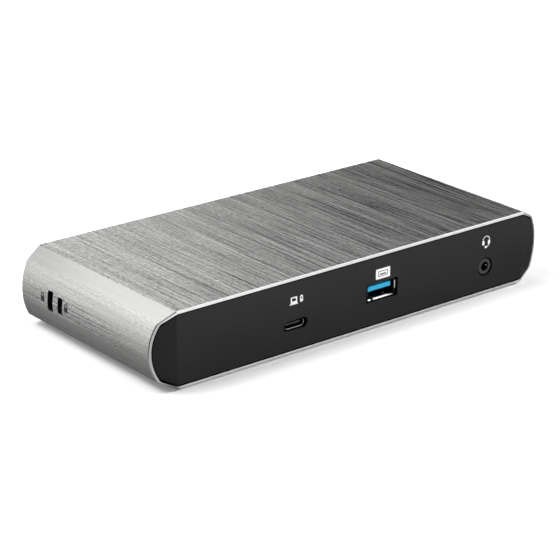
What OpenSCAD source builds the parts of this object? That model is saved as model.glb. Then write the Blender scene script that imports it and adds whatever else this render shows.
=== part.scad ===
// Desktop docking station: a folded aluminium sleeve, open at both ends, holds a tray with the
// circuit board. A black panel closes each end, flush with the sleeve, and carries the sockets.
// Millimetres. X runs along the front, Y from front to back, Z up. The origin lies on the table
// under the middle of the body.

/* [Sleeve] */
// Width across the bulging sides
body_w = 184.4; // [184:0.1:200]
// Depth from the front face to the rear face
body_d = 83; // [82:0.5:100]
// Height of the sleeve without its feet
body_h = 28.5; // [28:0.25:34]
// Distance from the top crease out to the widest point of the side
edge_run = 9.9; // [9.5:0.1:11]
// Slope of the bevel that falls away from the top crease
bevel_angle = 28; // [25:0.5:31]
// Radius of the bulging side
side_r = 19.5; // [18:0.5:23]
// Radius of the soft crease between bevel and side
crease_r = 3; // [2:0.1:4]
// Thickness of the metal
wall = 1.1; // [0.9:0.05:1.4]
// How far the ends are swept back at the widest point
end_sweep = 2.8; // [0.5:0.1:4]
// Height of the rails that guide the tray
rail_h = 0.8; // [0.5:0.1:0.8]
// Thickness of those rails
rail_t = 0.8; // [0.6:0.1:1]

/* [Panels] */
// Thickness of the front and rear panels
panel_t = 2; // [1.6:0.1:2.6]
// Play between a panel and the sleeve
panel_gap = 0.4; // [0.1:0.05:0.45]
// Depth of the flange behind a panel
flange_d = 3; // [2:0.25:4]
// Thickness of that flange
flange_t = 1.2; // [0.8:0.1:1.5]
// Distance of the sockets behind the panel's face
port_recess = 0.8; // [0.4:0.1:1.2]
// Play around a socket in the rear panel
port_gap = 0.3; // [0.2:0.05:0.4]

/* [Feet] */
// Length of a rubber foot
foot_l = 24; // [16:1:30]
// Width of a rubber foot
foot_w = 10; // [8:0.5:12]
// Height of a rubber foot
foot_h = 0.6; // [0.6:0.1:3]
// Distance of a foot's centre from the widest point of the side
foot_in_x = 24; // [23:0.5:27]
// Distance of a foot's centre from the front or rear face
foot_in_y = 12; // [11:0.5:16]

/* [Lock slots] */
// Width of the standard lock slot
lock_w = 3.3; // [2.8:0.1:3.5]
// Height of the standard lock slot
lock_h = 7.4; // [6.5:0.1:7.5]
// Width of the small lock slot
nano_w = 2.9; // [2.2:0.1:3]
// Height of the small lock slot
nano_h = 6.1; // [5.5:0.1:6.5]
// Distance of the standard slot from the rear face
lock_back = 21.1; // [17:0.1:24]
// Distance between the two slots
lock_pitch = 6.2; // [5:0.1:8]
// Height of the slots above mid-height
lock_rise = 1; // [0:0.1:2]
// Thickness of the steel plate behind the slots
lock_plate_t = 1; // [0.8:0.1:1.5]

/* [Tray and board] */
// Thickness of the tray's sheet
tray_t = 1; // [0.8:0.1:1.2]
// Thickness of the circuit board
board_t = 1.6; // [1.2:0.1:1.8]
// Depth of the host socket's centre below mid-height
port_drop = 3.5; // [3:0.1:4]
// Play between the tray and a rail
tray_gap = 0.2; // [0.1:0.05:0.4]
// Diameter of the screws
screw_d = 2.5; // [2:0.1:2.6]
// Diameter of their heads
head_d = 4.4; // [4:0.1:4.8]
// Height of their heads
head_h = 1.2; // [0.8:0.1:1.4]
// Play between a screw and its hole
screw_gap = 0.1; // [0.05:0.05:0.2]
// Thickness of the heat spreader's plate
spreader_t = 1.5; // [1:0.1:2]
// Height of the heat spreader's fins
fin_h = 4; // [2:0.25:6]
// Number of fins
fin_count = 11; // [5:1:15]

/* [Front sockets] */
// Distance of the host socket from the left top crease
host_in = 52; // [40:0.1:60]
// Width of the host socket's hole in the panel
host_hole_w = 11; // [9.8:0.1:12]
// Height of the host socket's hole in the panel
host_hole_h = 4; // [3.8:0.1:4.6]
// Place of the front data socket from the middle of the front
data_x = 10.4; // [0:0.1:30]
// Width of the data socket's hole in the panel
data_hole_w = 15.2; // [14:0.1:16]
// Height of the data socket's hole in the panel
data_hole_h = 7.3; // [6.8:0.1:7.5]
// Height of a data socket's centre above the board
data_rise = 4.6; // [3.6:0.05:5]
// Distance of the audio socket from the right top crease
audio_in = 19.4; // [16.3:0.1:32]
// Diameter of the audio socket's hole in the panel
audio_hole_d = 7.3; // [6.8:0.1:8]
// Outer diameter of the audio socket's bush
bush_d = 6.2; // [5.6:0.1:6.4]
// Bore of the audio socket's bush
audio_bore_d = 3.6; // [3.6:0.02:3.7]
// Height of the audio socket's axis above the board
audio_rise = 1.5; // [1:0.1:2]

/* [Rear sockets] */
// Distance of the power socket from the right top crease
power_in = 13.3; // [13.1:0.1:13.8]
// Distance from the power socket to the network socket
network_pitch = 14.6; // [14:0.1:15]
// Distance between the rear data sockets, which fill the room between network and video sockets
rear_data_pitch = 15.6; // [15:0.1:16]
// Least distance from a rear data socket to the socket of another kind beside it
rear_data_end = 15.4; // [15.4:0.1:16]
// Distance of the outer display socket from the left top crease
display_in = 17.9; // [17.7:0.1:18.2]
// Distance between the display sockets
display_pitch = 18.6; // [18.4:0.1:18.8]
// Distance from the inner display socket to the nearest video socket
video_start = 17.8; // [17.4:0.1:18]
// Distance between the video sockets
video_pitch = 17.4; // [17:0.1:17.8]

/* [Hidden] */
$fn = 64;

// How far a cutting shape overruns what it cuts
over = 1;

// Levels from the table up
mid_z = foot_h + body_h / 2;
floor_z = foot_h + wall;
tray_top = floor_z + tray_t;

// Front and back planes; the rear is the front mirrored
front_y = -body_d / 2;
panel_back = front_y + panel_t;
flange_end = panel_back + flange_d;
mouth_y = front_y + port_recess;
panel_inset = wall + panel_gap;

// Half of the flat top between its two creases, and the places that are measured from there
top_half = body_w / 2 - edge_run;
host_x = host_in - top_half;
audio_x = top_half - audio_in;
power_x = top_half - power_in;
network_x = power_x - network_pitch;
display_xs = [display_in - top_half, display_in - top_half + display_pitch];
video_xs = [display_xs[1] + video_start, display_xs[1] + video_start + video_pitch];

// Socket sizes that are common to all makes
shell_t = 0.3;
type_c = [8.34, 2.56];
type_c_depth = 7.4;
type_c_base = 2.2;
type_c_blade = [6.69, 0.7];
type_a = [12.5, 5.12];
type_a_depth = 14;
type_a_base = 3.6;
type_a_blade = [11.1, 1.84];
type_a_lip = 0.4;
type_a_lip_run = 0.6;
video = [14, 4.55];
video_depth = 11.5;
video_base = 3;
video_blade = [10.9, 1.2];
display = [16.1, 4.76];
display_depth = 12;
display_base = 3;
display_blade = [13.2, 1.3];
network = [16, 13.4];
network_depth = 16;
power_block = [9, 11];
power_depth = 14;
blade_in = 0.9;
insert_gap = 0.05;

// Board levels follow the host socket, which lies flat on the board
board_top = mid_z - port_drop - type_c.y / 2 - shell_t;
board_bottom = board_top - board_t;
host_z = board_top + type_c.y / 2 + shell_t;
data_z = board_top + data_rise;
audio_z = board_top + audio_rise;

// Rails and tray
rail_in = 0.3;
rail_x = top_half - wall * tan(bevel_angle / 2) - rail_t - rail_in;
tray_half = rail_x - tray_gap;
tray_front = flange_end;
tab_w = 6;
tab_in = 0.2;
tab_x = tray_half - tab_w / 2 - tab_in;
board_edge_gap = 0.8;
board_half = tab_x - tab_w / 2 - board_edge_gap;
board_front = panel_back + board_edge_gap;

function unit(v) = v / norm(v);

function reversed(list) = [for (i = [len(list) - 1:-1:0]) list[i]];

// A convex outline moved outwards by a distance; its points run clockwise
function grown(points, by) = [
    for (i = [0:len(points) - 1])
        let (
            here = points[i],
            ahead = unit(points[(i + 1) % len(points)] - here),
            behind = unit(here - points[(i + len(points) - 1) % len(points)]),
            out_a = [-behind.y, behind.x],
            out_b = [-ahead.y, ahead.x]
        )
        here + by * (out_a + out_b) / (1 + out_a * out_b)
];

// Sleeve section in X and Z about mid-height, moved inwards by an inset
bevel_dir = [cos(bevel_angle), -sin(bevel_angle)];
bevel_in = [-sin(bevel_angle), -cos(bevel_angle)];
side_c = [body_w / 2 - side_r, 0];

function top_corner(inset) = [top_half - inset * tan(bevel_angle / 2), body_h / 2 - inset];

least_round = 0.4;

function crease_round(inset) = max(crease_r - inset, least_round);

// The crease's arc touches the bevel and lies inside the side's circle
function crease_c(inset) =
    let (
        start = top_corner(inset) + crease_round(inset) * bevel_in,
        off = start - side_c,
        along = off * bevel_dir,
        span = side_r - inset - crease_round(inset)
    )
    start + (sqrt(along * along - off * off + span * span) - along) * bevel_dir;

function crease_points(inset) = [
    top_corner(inset),
    crease_c(inset) - crease_round(inset) * bevel_in,
    side_c + (side_r - inset) * unit(crease_c(inset) - side_c)
];

module profile(inset) {
    upper = crease_points(inset);
    right = concat(upper, [for (p = reversed(upper)) [p.x, -p.y]]);
    left = [for (p = reversed(right)) [-p.x, p.y]];
    side_x = upper[2].x;
    polygon(concat(right, left));
    for (flip = [0, 1]) {
        mirror([flip, 0]) {
            for (s = [-1, 1]) {
                translate([crease_c(inset).x, s * crease_c(inset).y]) circle(r = crease_round(inset));
            }
            intersection() {
                translate(side_c) circle(r = side_r - inset);
                translate([side_x, -side_r]) square([side_r, 2 * side_r]);
            }
        }
    }
}

// Front edge seen from above: straight between the creases, swept back beyond them
function front_line(y) =
    let (reach = edge_run + 2 * over, back = end_sweep * reach / edge_run)
    [
        [-top_half - reach, y + back],
        [-top_half, y],
        [top_half, y],
        [top_half + reach, y + back]
    ];

module front_slab(from_y, to_y) {
    linear_extrude(height = foot_h + body_h + 2 * over)
        polygon(concat(front_line(from_y), reversed(front_line(to_y))));
}

module body_plan() {
    rear_line = [for (p = front_line(front_y)) [p.x, -p.y]];
    linear_extrude(height = foot_h + body_h + 2 * over)
        polygon(concat(front_line(front_y), reversed(rear_line)));
}

// Places a flat outline in X and Z at a point and runs it towards the back
module run_y(at, length) {
    translate(at) rotate([90, 0, 0]) translate([0, 0, -length]) linear_extrude(height = length) children();
}

module bar(inset) {
    run_y([0, front_y - over, mid_z], body_d + 2 * over) profile(inset);
}

module at_rear() {
    mirror([0, 1, 0]) children();
}

module plate(size) {
    square(size, center = true);
}

module stadium(w, h) {
    square([w - h, h], center = true);
    for (s = [-1, 1]) {
        translate([s * (w - h) / 2, 0]) circle(d = h);
    }
}

module round_plate(w, h, r) {
    square([w - 2 * r, h], center = true);
    square([w, h - 2 * r], center = true);
    for (sx = [-1, 1], sy = [-1, 1]) {
        translate([sx * (w / 2 - r), sy * (h / 2 - r)]) circle(r = r);
    }
}

// Screw with its head up, standing on a surface at its origin
module pan_screw(length) {
    slot_w = 0.6;
    slot_l = 2.6;
    slot_depth = head_h / 2;
    difference() {
        cylinder(d = head_d, h = head_h);
        for (turn = [0, 90]) {
            rotate(turn) translate([-slot_l / 2, -slot_w / 2, head_h - slot_depth])
                cube([slot_l, slot_w, head_h]);
        }
    }
    translate([0, 0, -length]) cylinder(d = screw_d, h = length);
}

module screw_hole(length) {
    translate([0, 0, -length]) cylinder(d = screw_d + 2 * screw_gap, h = length);
}

// Housing

lock_y = body_d / 2 - lock_back;
nano_y = lock_y - lock_pitch;
lock_z = mid_z + lock_rise;
slot_r = 0.5;
foot_x = body_w / 2 - foot_in_x;
foot_y = body_d / 2 - foot_in_y;
sink_left = 0.1;
sink_h = wall - sink_left;
base_screw_tip = 1;

module slot_cuts(from_x, to_x) {
    for (slot = [[lock_y, lock_w, lock_h], [nano_y, nano_w, nano_h]]) {
        translate([from_x, slot[0], lock_z]) rotate([90, 0, 90])
            linear_extrude(height = to_x - from_x) round_plate(slot[1], slot[2], slot_r);
    }
}

module at_feet() {
    for (sx = [-1, 1], sy = [-1, 1]) {
        translate([sx * foot_x, sy * foot_y, 0]) children();
    }
}

module sink(extra) {
    cylinder(d1 = head_d + 2 * extra, d2 = screw_d + 2 * extra, h = sink_h);
}

module sleeve() {
    color([0.66, 0.66, 0.65]) difference() {
        union() {
            intersection() {
                difference() {
                    bar(0);
                    bar(wall);
                }
                body_plan();
            }
            for (s = [-1, 1]) {
                translate([s * (rail_x + rail_t / 2) - rail_t / 2, flange_end, floor_z - wall / 2])
                    cube([rail_t, -2 * flange_end, rail_h + wall / 2]);
            }
        }
        slot_cuts(-body_w, 0);
        at_feet() {
            translate([0, 0, foot_h]) sink(screw_gap);
            cylinder(d = screw_d + 2 * screw_gap, h = floor_z + over);
        }
    }
}

module feet() {
    color([0.09, 0.09, 0.09]) at_feet() linear_extrude(height = foot_h) stadium(foot_l, foot_w);
}

module base_screws() {
    color("dimgray") at_feet() translate([0, 0, foot_h]) {
        sink(0);
        cylinder(d = screw_d, h = wall + tray_t + base_screw_tip);
    }
}

// Front and rear panels

boss_d = 5;
front_boss_in = 34.3;
front_boss_x = top_half - front_boss_in;
front_boss_z = (tray_top + board_bottom) / 2;
rear_boss_rise = 8;
screw_reach = flange_d;
screw_end_gap = 0.5;
rear_screw_tip = 1;

module panel_blank() {
    intersection() {
        bar(panel_inset);
        front_slab(front_y, panel_back);
    }
    intersection() {
        difference() {
            bar(panel_inset);
            bar(panel_inset + flange_t);
        }
        front_slab(panel_back - panel_t / 2, flange_end);
    }
}

module at_front_bosses() {
    for (s = [-1, 1]) {
        translate([s * front_boss_x, flange_end, front_boss_z]) rotate([-90, 0, 0]) children();
    }
}

module at_rear_bosses() {
    for (sx = [-1, 1], sz = [-1, 1]) {
        translate([sx * tab_x, flange_end, mid_z + sz * rear_boss_rise]) rotate([-90, 0, 0]) children();
    }
}

module boss() {
    translate([0, 0, -flange_d - panel_t / 2]) cylinder(d = boss_d, h = flange_d + panel_t / 2);
}

module front_panel() {
    color([0.10, 0.10, 0.105]) difference() {
        union() {
            panel_blank();
            at_front_bosses() boss();
        }
        at_front_bosses() screw_hole(screw_reach);
        run_y([host_x, front_y - over, host_z], panel_t + 2 * over) stadium(host_hole_w, host_hole_h);
        run_y([data_x, front_y - over, data_z], panel_t + 2 * over)
            round_plate(data_hole_w, data_hole_h, slot_r);
        run_y([audio_x, front_y - over, audio_z], panel_t + 2 * over) circle(d = audio_hole_d);
    }
}

module rear_panel() {
    head_room = 0.2;
    color([0.10, 0.10, 0.105]) at_rear() difference() {
        union() {
            panel_blank();
            at_rear_bosses() boss();
        }
        at_rear_bosses() {
            screw_hole(panel_t + flange_d + over);
            translate([0, 0, -panel_t - flange_d - over])
                cylinder(d = head_d + 2 * head_room, h = head_h + over);
        }
        for (x = rear_data_xs) {
            run_y([x, front_y - over, data_z], panel_t + 2 * over)
                plate(type_a + 2 * (shell_t + port_gap) * [1, 1] + [0, 2 * type_a_lip]);
        }
        for (x = video_xs) {
            run_y([x, front_y - over, video_z], panel_t + 2 * over)
                polygon(grown(video_outline(), shell_t + port_gap));
        }
        for (x = display_xs) {
            run_y([x, front_y - over, display_z], panel_t + 2 * over)
                polygon(grown(display_outline(), shell_t + port_gap));
        }
        run_y([network_x, front_y - over, network_z], panel_t + 2 * over)
            plate(network + 2 * port_gap * [1, 1]);
        run_y([power_x, front_y - over, power_z], panel_t + 2 * over)
            plate(power_block + 2 * port_gap * [1, 1]);
    }
}

module front_panel_screws() {
    color("dimgray") at_front_bosses() translate([0, 0, tray_t])
        pan_screw(tray_t + screw_reach - screw_end_gap);
}

module rear_panel_screws() {
    color("dimgray") at_rear() at_rear_bosses()
        translate([0, 0, head_h - panel_t - flange_d]) mirror([0, 0, 1])
            pan_screw(panel_t + flange_d - head_h + tray_t + rear_screw_tip);
}

// Tray, lock plate and circuit board

front_tab_w = 9;
plate_margin = 6;
plate_foot = 9;
plate_gap = 0.5;
plate_over = 3;
plate_screw_out = 0.4;
standoff_d = 5;
standoff_in = [9.7, 20];
mid_standoff_x = -6;
standoff_xs = [standoff_in.x - board_half, mid_standoff_x, board_half - standoff_in.x];
standoff_y = body_d / 2 - standoff_in.y;
board_screw_tip = 3;

module at_standoffs(z) {
    for (x = standoff_xs, s = [-1, 1]) {
        translate([x, s * standoff_y, z]) children();
    }
}

plate_front = nano_y - nano_w / 2 - plate_margin;
plate_rear = lock_y + lock_w / 2 + plate_margin;
plate_screw_x = plate_foot / 2 + plate_screw_out - tray_half;

module at_plate_screws() {
    for (y = [plate_front + plate_margin / 2, plate_rear - plate_margin / 2]) {
        translate([plate_screw_x, y, tray_top]) children();
    }
}

module chassis_tray() {
    hole = screw_d + 2 * screw_gap;
    color([0.70, 0.70, 0.72]) difference() {
        union() {
            translate([-tray_half, tray_front, floor_z]) cube([2 * tray_half, -2 * tray_front, tray_t]);
            for (s = [-1, 1]) {
                translate([s * front_boss_x - front_tab_w / 2, tray_front, floor_z])
                    cube([front_tab_w, tray_t, board_bottom - board_edge_gap - floor_z]);
                at_rear() translate([s * tab_x - tab_w / 2, tray_front, floor_z])
                    cube([tab_w, tray_t, mid_z + rear_boss_rise + boss_d / 2 - floor_z]);
            }
        }
        at_front_bosses() cylinder(d = hole, h = tray_t);
        at_rear() at_rear_bosses() cylinder(d = hole, h = tray_t);
        at_feet() cylinder(d = hole, h = tray_top + over);
        at_standoffs(floor_z) cylinder(d = hole, h = tray_t);
        at_plate_screws() translate([0, 0, -tray_t]) cylinder(d = hole, h = tray_t);
    }
}

// Sheet bracket: a foot on the tray, a slope beside the bevel, an upright behind the slots
module lock_plate() {
    inner = wall + plate_gap;
    bend = top_corner(inner + lock_plate_t);
    upright_top = lock_rise + lock_h / 2 + plate_over;
    upright_x = crease_points(inner)[2].x - lock_plate_t;
    tan_slope = tan(bevel_angle);
    foot_top = tray_top + lock_plate_t - mid_z;
    line_x = function (z) bend.x + (z + bend.y) / tan_slope;
    half_turn = tan((90 - bevel_angle) / 2);
    inside = [
        [tray_half - plate_foot, foot_top],
        [line_x(foot_top), foot_top],
        [upright_x, (upright_x - line_x(0)) * tan_slope],
        [upright_x, upright_top]
    ];
    outside = [
        [upright_x + lock_plate_t, upright_top],
        [upright_x + lock_plate_t, inside[2].y - lock_plate_t * half_turn],
        [inside[1].x + lock_plate_t * tan(bevel_angle / 2), foot_top - lock_plate_t],
        [tray_half - plate_foot, foot_top - lock_plate_t]
    ];
    color("silver") difference() {
        mirror([1, 0, 0]) run_y([0, plate_front, mid_z], plate_rear - plate_front)
            polygon(concat(inside, outside));
        slot_cuts(-body_w, 0);
        at_plate_screws() cylinder(d = screw_d + 2 * screw_gap, h = lock_plate_t);
    }
}

module lock_plate_screws() {
    color("dimgray") at_plate_screws() translate([0, 0, lock_plate_t]) pan_screw(lock_plate_t + tray_t);
}

module standoffs() {
    color([0.80, 0.68, 0.40]) at_standoffs(tray_top) difference() {
        cylinder(d = standoff_d, h = board_bottom - tray_top);
        cylinder(d = screw_d + 2 * screw_gap, h = board_bottom - tray_top);
    }
}

module main_board() {
    notch = audio_body_w + 2 * audio_notch_gap;
    color([0.05, 0.25, 0.12]) difference() {
        translate([-board_half, board_front, board_bottom])
            cube([2 * board_half, -2 * board_front, board_t]);
        at_standoffs(board_bottom) cylinder(d = screw_d + 2 * screw_gap, h = board_t);
        at_spreader_posts(board_bottom) cylinder(d = screw_d + 2 * screw_gap, h = board_t);
        translate([audio_x - notch / 2, board_front - over, board_bottom])
            cube([notch, audio_back + audio_notch_gap - board_front + over, board_t]);
    }
}

module board_screws() {
    color("silver") at_standoffs(board_top) pan_screw(board_t + board_screw_tip);
}

// Parts on the board

chip = [16, 16, 1.2];
chip_x = -22;
hub = [9, 9, 0.9];
hub_places = [[0, 5], [14, -5], [27, 0]];
pad_margin = 1;
spreader_in = 27.8;
spreader_w = 30;
spreader = [2 * (board_half - spreader_in), spreader_w];
spreader_rise = 2.4;
post_d = 5.5;
post_inset = 4;
fin_t = 1.2;
fin_post_gap = 0.5;
spreader_bottom = board_top + spreader_rise;

// Places of the other parts, from the nearest end of the board and from its middle line
can = [17, 14, 3.2];
can_t = 0.3;
can_in = 18.3;
can_at = [board_half - can_in, -6];
coil = [7.5, 7.5, 4];
coil_step = 1;
coil_in = 5.5;
coil_ys = [-12, -2, 8];
drum_d = 6.3;
drum_h = 5.8;
drum_base = [6.7, 6.7, 0.8];
drum_pitch = 8;
drum_in = 4.7;
drum_ys = [-6, 4];
core = [15, 9, 5.4];
core_in = 18.7;
core_at = [board_half - core_in, 13];
lead = [0.5, 1.6, 0.4];
lead_pitch = 1.8;
lead_lap = 0.2;
crystal_at = [-40, -22];
crystal_base = [11, 4.6, 0.5];
crystal_can = [10, 3.6, 3.4];

module on_board(at) {
    translate([at.x, at.y, board_top]) children();
}

module block(size) {
    translate([-size.x / 2, -size.y / 2, 0]) cube(size);
}

module at_spreader_posts(z) {
    for (sx = [-1, 1], sy = [-1, 1]) {
        translate([sx * (spreader.x / 2 - post_inset), sy * (spreader.y / 2 - post_inset), z]) children();
    }
}

module controller_chip() {
    color([0.07, 0.07, 0.08]) on_board([chip_x, 0]) block(chip);
}

module hub_chips() {
    color([0.07, 0.07, 0.08]) for (at = hub_places) {
        on_board(at) block(hub);
    }
}

module thermal_pads() {
    color([0.55, 0.62, 0.70]) {
        translate([chip_x, 0, board_top + chip.z])
            block([chip.x - pad_margin, chip.y - pad_margin, spreader_rise - chip.z]);
        for (at = hub_places) {
            translate([at.x, at.y, board_top + hub.z])
                block([hub.x - pad_margin, hub.y - pad_margin, spreader_rise - hub.z]);
        }
    }
}

module heat_spreader() {
    fin_room = spreader.y - 2 * (2 * post_inset + fin_post_gap);
    fin_pitch = (spreader.x - fin_t) / (fin_count - 1);
    color([0.72, 0.72, 0.74]) difference() {
        union() {
            translate([0, 0, spreader_bottom]) block([spreader.x, spreader.y, spreader_t]);
            at_spreader_posts(board_top) cylinder(d = post_d, h = spreader_rise + spreader_t / 2);
            for (i = [0:fin_count - 1]) {
                translate([fin_t / 2 - spreader.x / 2 + i * fin_pitch, 0, spreader_bottom])
                    block([fin_t, fin_room, spreader_t + fin_h]);
            }
        }
        at_spreader_posts(board_top) cylinder(d = screw_d + 2 * screw_gap, h = spreader_rise + spreader_t);
    }
}

module spreader_screws() {
    color("silver") at_spreader_posts(spreader_bottom + spreader_t)
        pan_screw(spreader_t + spreader_rise + board_t);
}

module shield_can() {
    color([0.78, 0.78, 0.80]) on_board(can_at) difference() {
        block(can);
        block([can.x - 2 * can_t, can.y - 2 * can_t, can.z - can_t]);
    }
}

module inductors() {
    color([0.25, 0.25, 0.27]) for (y = coil_ys) {
        on_board([board_half - coil_in, y]) {
            block([coil.x, coil.y, coil.z / 2]);
            cylinder(d = coil.x - coil_step, h = coil.z);
        }
    }
}

module capacitors() {
    color([0.75, 0.76, 0.80]) for (i = [0:2], y = drum_ys) {
        on_board([drum_in - board_half + i * drum_pitch, y]) {
            block(drum_base);
            cylinder(d = drum_d, h = drum_h);
        }
    }
}

module network_transformer() {
    color([0.10, 0.10, 0.10]) on_board(core_at) {
        block(core);
        for (i = [-3:3], s = [-1, 1]) {
            translate([i * lead_pitch, s * (core.y / 2 + lead.y / 2 - lead_lap), 0]) block(lead);
        }
    }
}

module clock_crystal() {
    color([0.80, 0.80, 0.82]) on_board(crystal_at) for (layer = [crystal_base, crystal_can]) {
        linear_extrude(height = layer.z) stadium(layer.x, layer.y);
    }
}

// Sockets, written as they lie on the front; those at the back are mirrored

pin_t = 0.12;
type_c_pin_count = 12;
type_c_pin_w = 0.26;
type_c_pin_pitch = 0.5;
type_a_pin_count = 4;
type_a_pin_w = 1.1;
type_a_pin_pitch = 2.4;
video_pin_count = 9;
video_pin_w = 0.45;
video_pin_pitch = 1;
display_pin_count = 10;
display_pin_w = 0.5;
display_pin_pitch = 1.1;
leg_l = 3;
leg_in = 5;

function spread(count, pitch) = [for (i = [0:count - 1]) (i - (count - 1) / 2) * pitch];

// Insulator of a flat socket: a base block that fills the back of the shell, and a blade on it
module blade_block(x, z, size, depth, base, blade, blade_z) {
    run_y([x, mouth_y + depth - base, z], base) plate(size - 2 * insert_gap * [1, 1]);
    run_y([x, mouth_y + blade_in, z + blade_z], depth - blade_in - base / 2) plate(blade);
}

module pins(x, z, count, pitch, width, length, side) {
    for (dx = spread(count, pitch)) {
        run_y([x + dx, mouth_y + 2 * blade_in, z + side * pin_t / 2], length) plate([width, pin_t]);
    }
}

module legs(x, z, half_w, at_y) {
    for (s = [-1, 1]) {
        translate([x + s * (half_w + shell_t / 2) - shell_t / 2, mouth_y + at_y, board_top])
            cube([shell_t, leg_l, z - board_top]);
    }
}

// Oval host socket

module host_socket_shell() {
    color([0.62, 0.63, 0.65]) run_y([host_x, mouth_y, host_z], type_c_depth) difference() {
        stadium(type_c.x + 2 * shell_t, type_c.y + 2 * shell_t);
        stadium(type_c.x, type_c.y);
    }
}

module host_socket_tongue() {
    color([0.05, 0.05, 0.05]) {
        run_y([host_x, mouth_y + type_c_depth - type_c_base, host_z], type_c_base)
            stadium(type_c.x - 2 * insert_gap, type_c.y - 2 * insert_gap);
        run_y([host_x, mouth_y + blade_in, host_z], type_c_depth - blade_in - type_c_base / 2)
            plate(type_c_blade);
    }
}

module host_socket_contacts() {
    color([0.85, 0.68, 0.30]) for (s = [-1, 1]) {
        pins(host_x, host_z + s * type_c_blade.y / 2, type_c_pin_count, type_c_pin_pitch, type_c_pin_w,
            type_c_depth - type_c_base - 2 * blade_in, s);
    }
}

// Flat data sockets, one in front and a row behind

blade_drop = 0.66;
type_a_blade_z = type_a.y / 2 - blade_drop - type_a_blade.y / 2;

rear_data_room = network_x - video_xs[1] - 2 * rear_data_end;
rear_data_count = floor(rear_data_room / rear_data_pitch) + 1;
rear_data_xs = [for (dx = spread(rear_data_count, rear_data_pitch)) (network_x + video_xs[1]) / 2 + dx];

// Lips at the mouth, above and below, that lead the plug in
module type_a_lips(x) {
    edge = type_a.y / 2;
    root = type_a_lip_run + shell_t;
    width = type_a.x - 2 * shell_t;
    section = [
        [root, edge], [type_a_lip_run, edge], [0, edge + type_a_lip],
        [0, edge + type_a_lip + shell_t], [type_a_lip_run, edge + shell_t], [root, edge + shell_t]
    ];
    for (flip = [0, 1]) {
        translate([x - width / 2, mouth_y, data_z]) mirror([0, 0, flip]) rotate([90, 0, 90])
            linear_extrude(height = width) polygon(section);
    }
}

module type_a_shell(x) {
    finger = [2.2, 6];
    finger_in = 2;
    slit = 0.35;
    outer = type_a + 2 * shell_t * [1, 1];
    type_a_lips(x);
    difference() {
        union() {
            run_y([x, mouth_y, data_z], type_a_depth) difference() {
                plate(outer);
                plate(type_a);
            }
            legs(x, data_z, type_a.x / 2, type_a_depth - leg_in);
        }
        translate([x, mouth_y + (type_a_lip_run - over) / 2, data_z - outer.y])
            block([type_a.x, type_a_lip_run + over, 2 * outer.y]);
        for (dx = spread(2, type_a.x / 2)) {
            translate([x + dx, mouth_y + finger_in + finger.y / 2, data_z - outer.y]) difference() {
                block([finger.x + 2 * slit, finger.y, 2 * outer.y]);
                translate([0, slit, 0]) block([finger.x, finger.y, 2 * outer.y]);
            }
        }
    }
}

module type_a_tongue(x) {
    blade_block(x, data_z, type_a, type_a_depth, type_a_base, type_a_blade, type_a_blade_z);
}

module type_a_contacts(x) {
    under = data_z + type_a_blade_z - type_a_blade.y / 2;
    pins(x, under, type_a_pin_count, type_a_pin_pitch, type_a_pin_w,
        type_a_depth - type_a_base - 2 * blade_in, -1);
}

module data_socket_shell() {
    color([0.72, 0.73, 0.75]) type_a_shell(data_x);
}

module data_socket_tongue() {
    color([0.05, 0.45, 0.85]) type_a_tongue(data_x);
}

module data_socket_contacts() {
    color([0.85, 0.68, 0.30]) type_a_contacts(data_x);
}

module rear_data_shells() {
    color([0.72, 0.73, 0.75]) at_rear() for (x = rear_data_xs) {
        type_a_shell(x);
    }
}

module rear_data_tongues() {
    color([0.05, 0.45, 0.85]) at_rear() for (x = rear_data_xs) {
        type_a_tongue(x);
    }
}

module rear_data_contacts() {
    color([0.85, 0.68, 0.30]) at_rear() for (x = rear_data_xs) {
        type_a_contacts(x);
    }
}

// Round audio socket, let into a notch of the board

audio_front = panel_back + board_edge_gap;
audio_len = 12;
audio_back = audio_front + audio_len;
audio_body_w = 7;
audio_body_h = 6.4;
audio_cavity = 4.4;
audio_wall = 1;
audio_notch_gap = 0.3;
wing_w = 1.6;
wing_t = 1.2;
wing_in = 2;
strip = [0.2, 2, 1.4];
strip_in = 2;
strip_pitch = 3;

module audio_socket_bush() {
    bush_front = front_y + port_recess / 2;
    color([0.40, 0.40, 0.41]) run_y([audio_x, bush_front, audio_z], audio_front - bush_front) difference() {
        circle(d = bush_d);
        circle(d = audio_bore_d);
    }
}

module audio_socket_body() {
    wing_span = audio_body_w + 2 * (audio_notch_gap + wing_w);
    color([0.08, 0.08, 0.08]) difference() {
        union() {
            run_y([audio_x, audio_front, audio_z], audio_len) plate([audio_body_w, audio_body_h]);
            translate([audio_x - wing_span / 2, audio_front + wing_in, board_top])
                cube([wing_span, audio_len - 2 * wing_in, wing_t]);
        }
        run_y([audio_x, audio_front, audio_z], audio_len - audio_wall) plate([audio_cavity, audio_cavity]);
    }
}

module audio_socket_contacts() {
    color([0.85, 0.68, 0.30]) for (s = [-1, 1], step = [0:2]) {
        strip_y = audio_front + strip_in + step * strip_pitch;
        translate([audio_x + s * (audio_cavity - strip.x) / 2, strip_y, audio_z]) block(strip);
    }
}

// Power socket

power_z = board_top + power_block.y / 2;
power_bore = 6.4;
power_bore_depth = 10.5;
power_pin_d = 2.5;
power_axis_rise = 6.5;
power_axis_z = board_top + power_axis_rise;
power_pin_in = 1.5;
spring_w = 2.4;
spring_t = 0.3;
spring_drop = 0.9;
spring_in = 2;
spring_play = 0.5;

module power_socket_body() {
    groove = spring_w + 2 * insert_gap;
    color([0.07, 0.07, 0.07]) at_rear() difference() {
        run_y([power_x, mouth_y, power_z], power_depth) plate(power_block);
        run_y([power_x, mouth_y, power_axis_z], power_bore_depth) circle(d = power_bore);
        translate([power_x - groove / 2, mouth_y + spring_in, power_axis_z - power_bore / 2 - spring_drop])
            cube([groove, power_bore_depth - spring_in, power_bore / 2]);
    }
}

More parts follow.
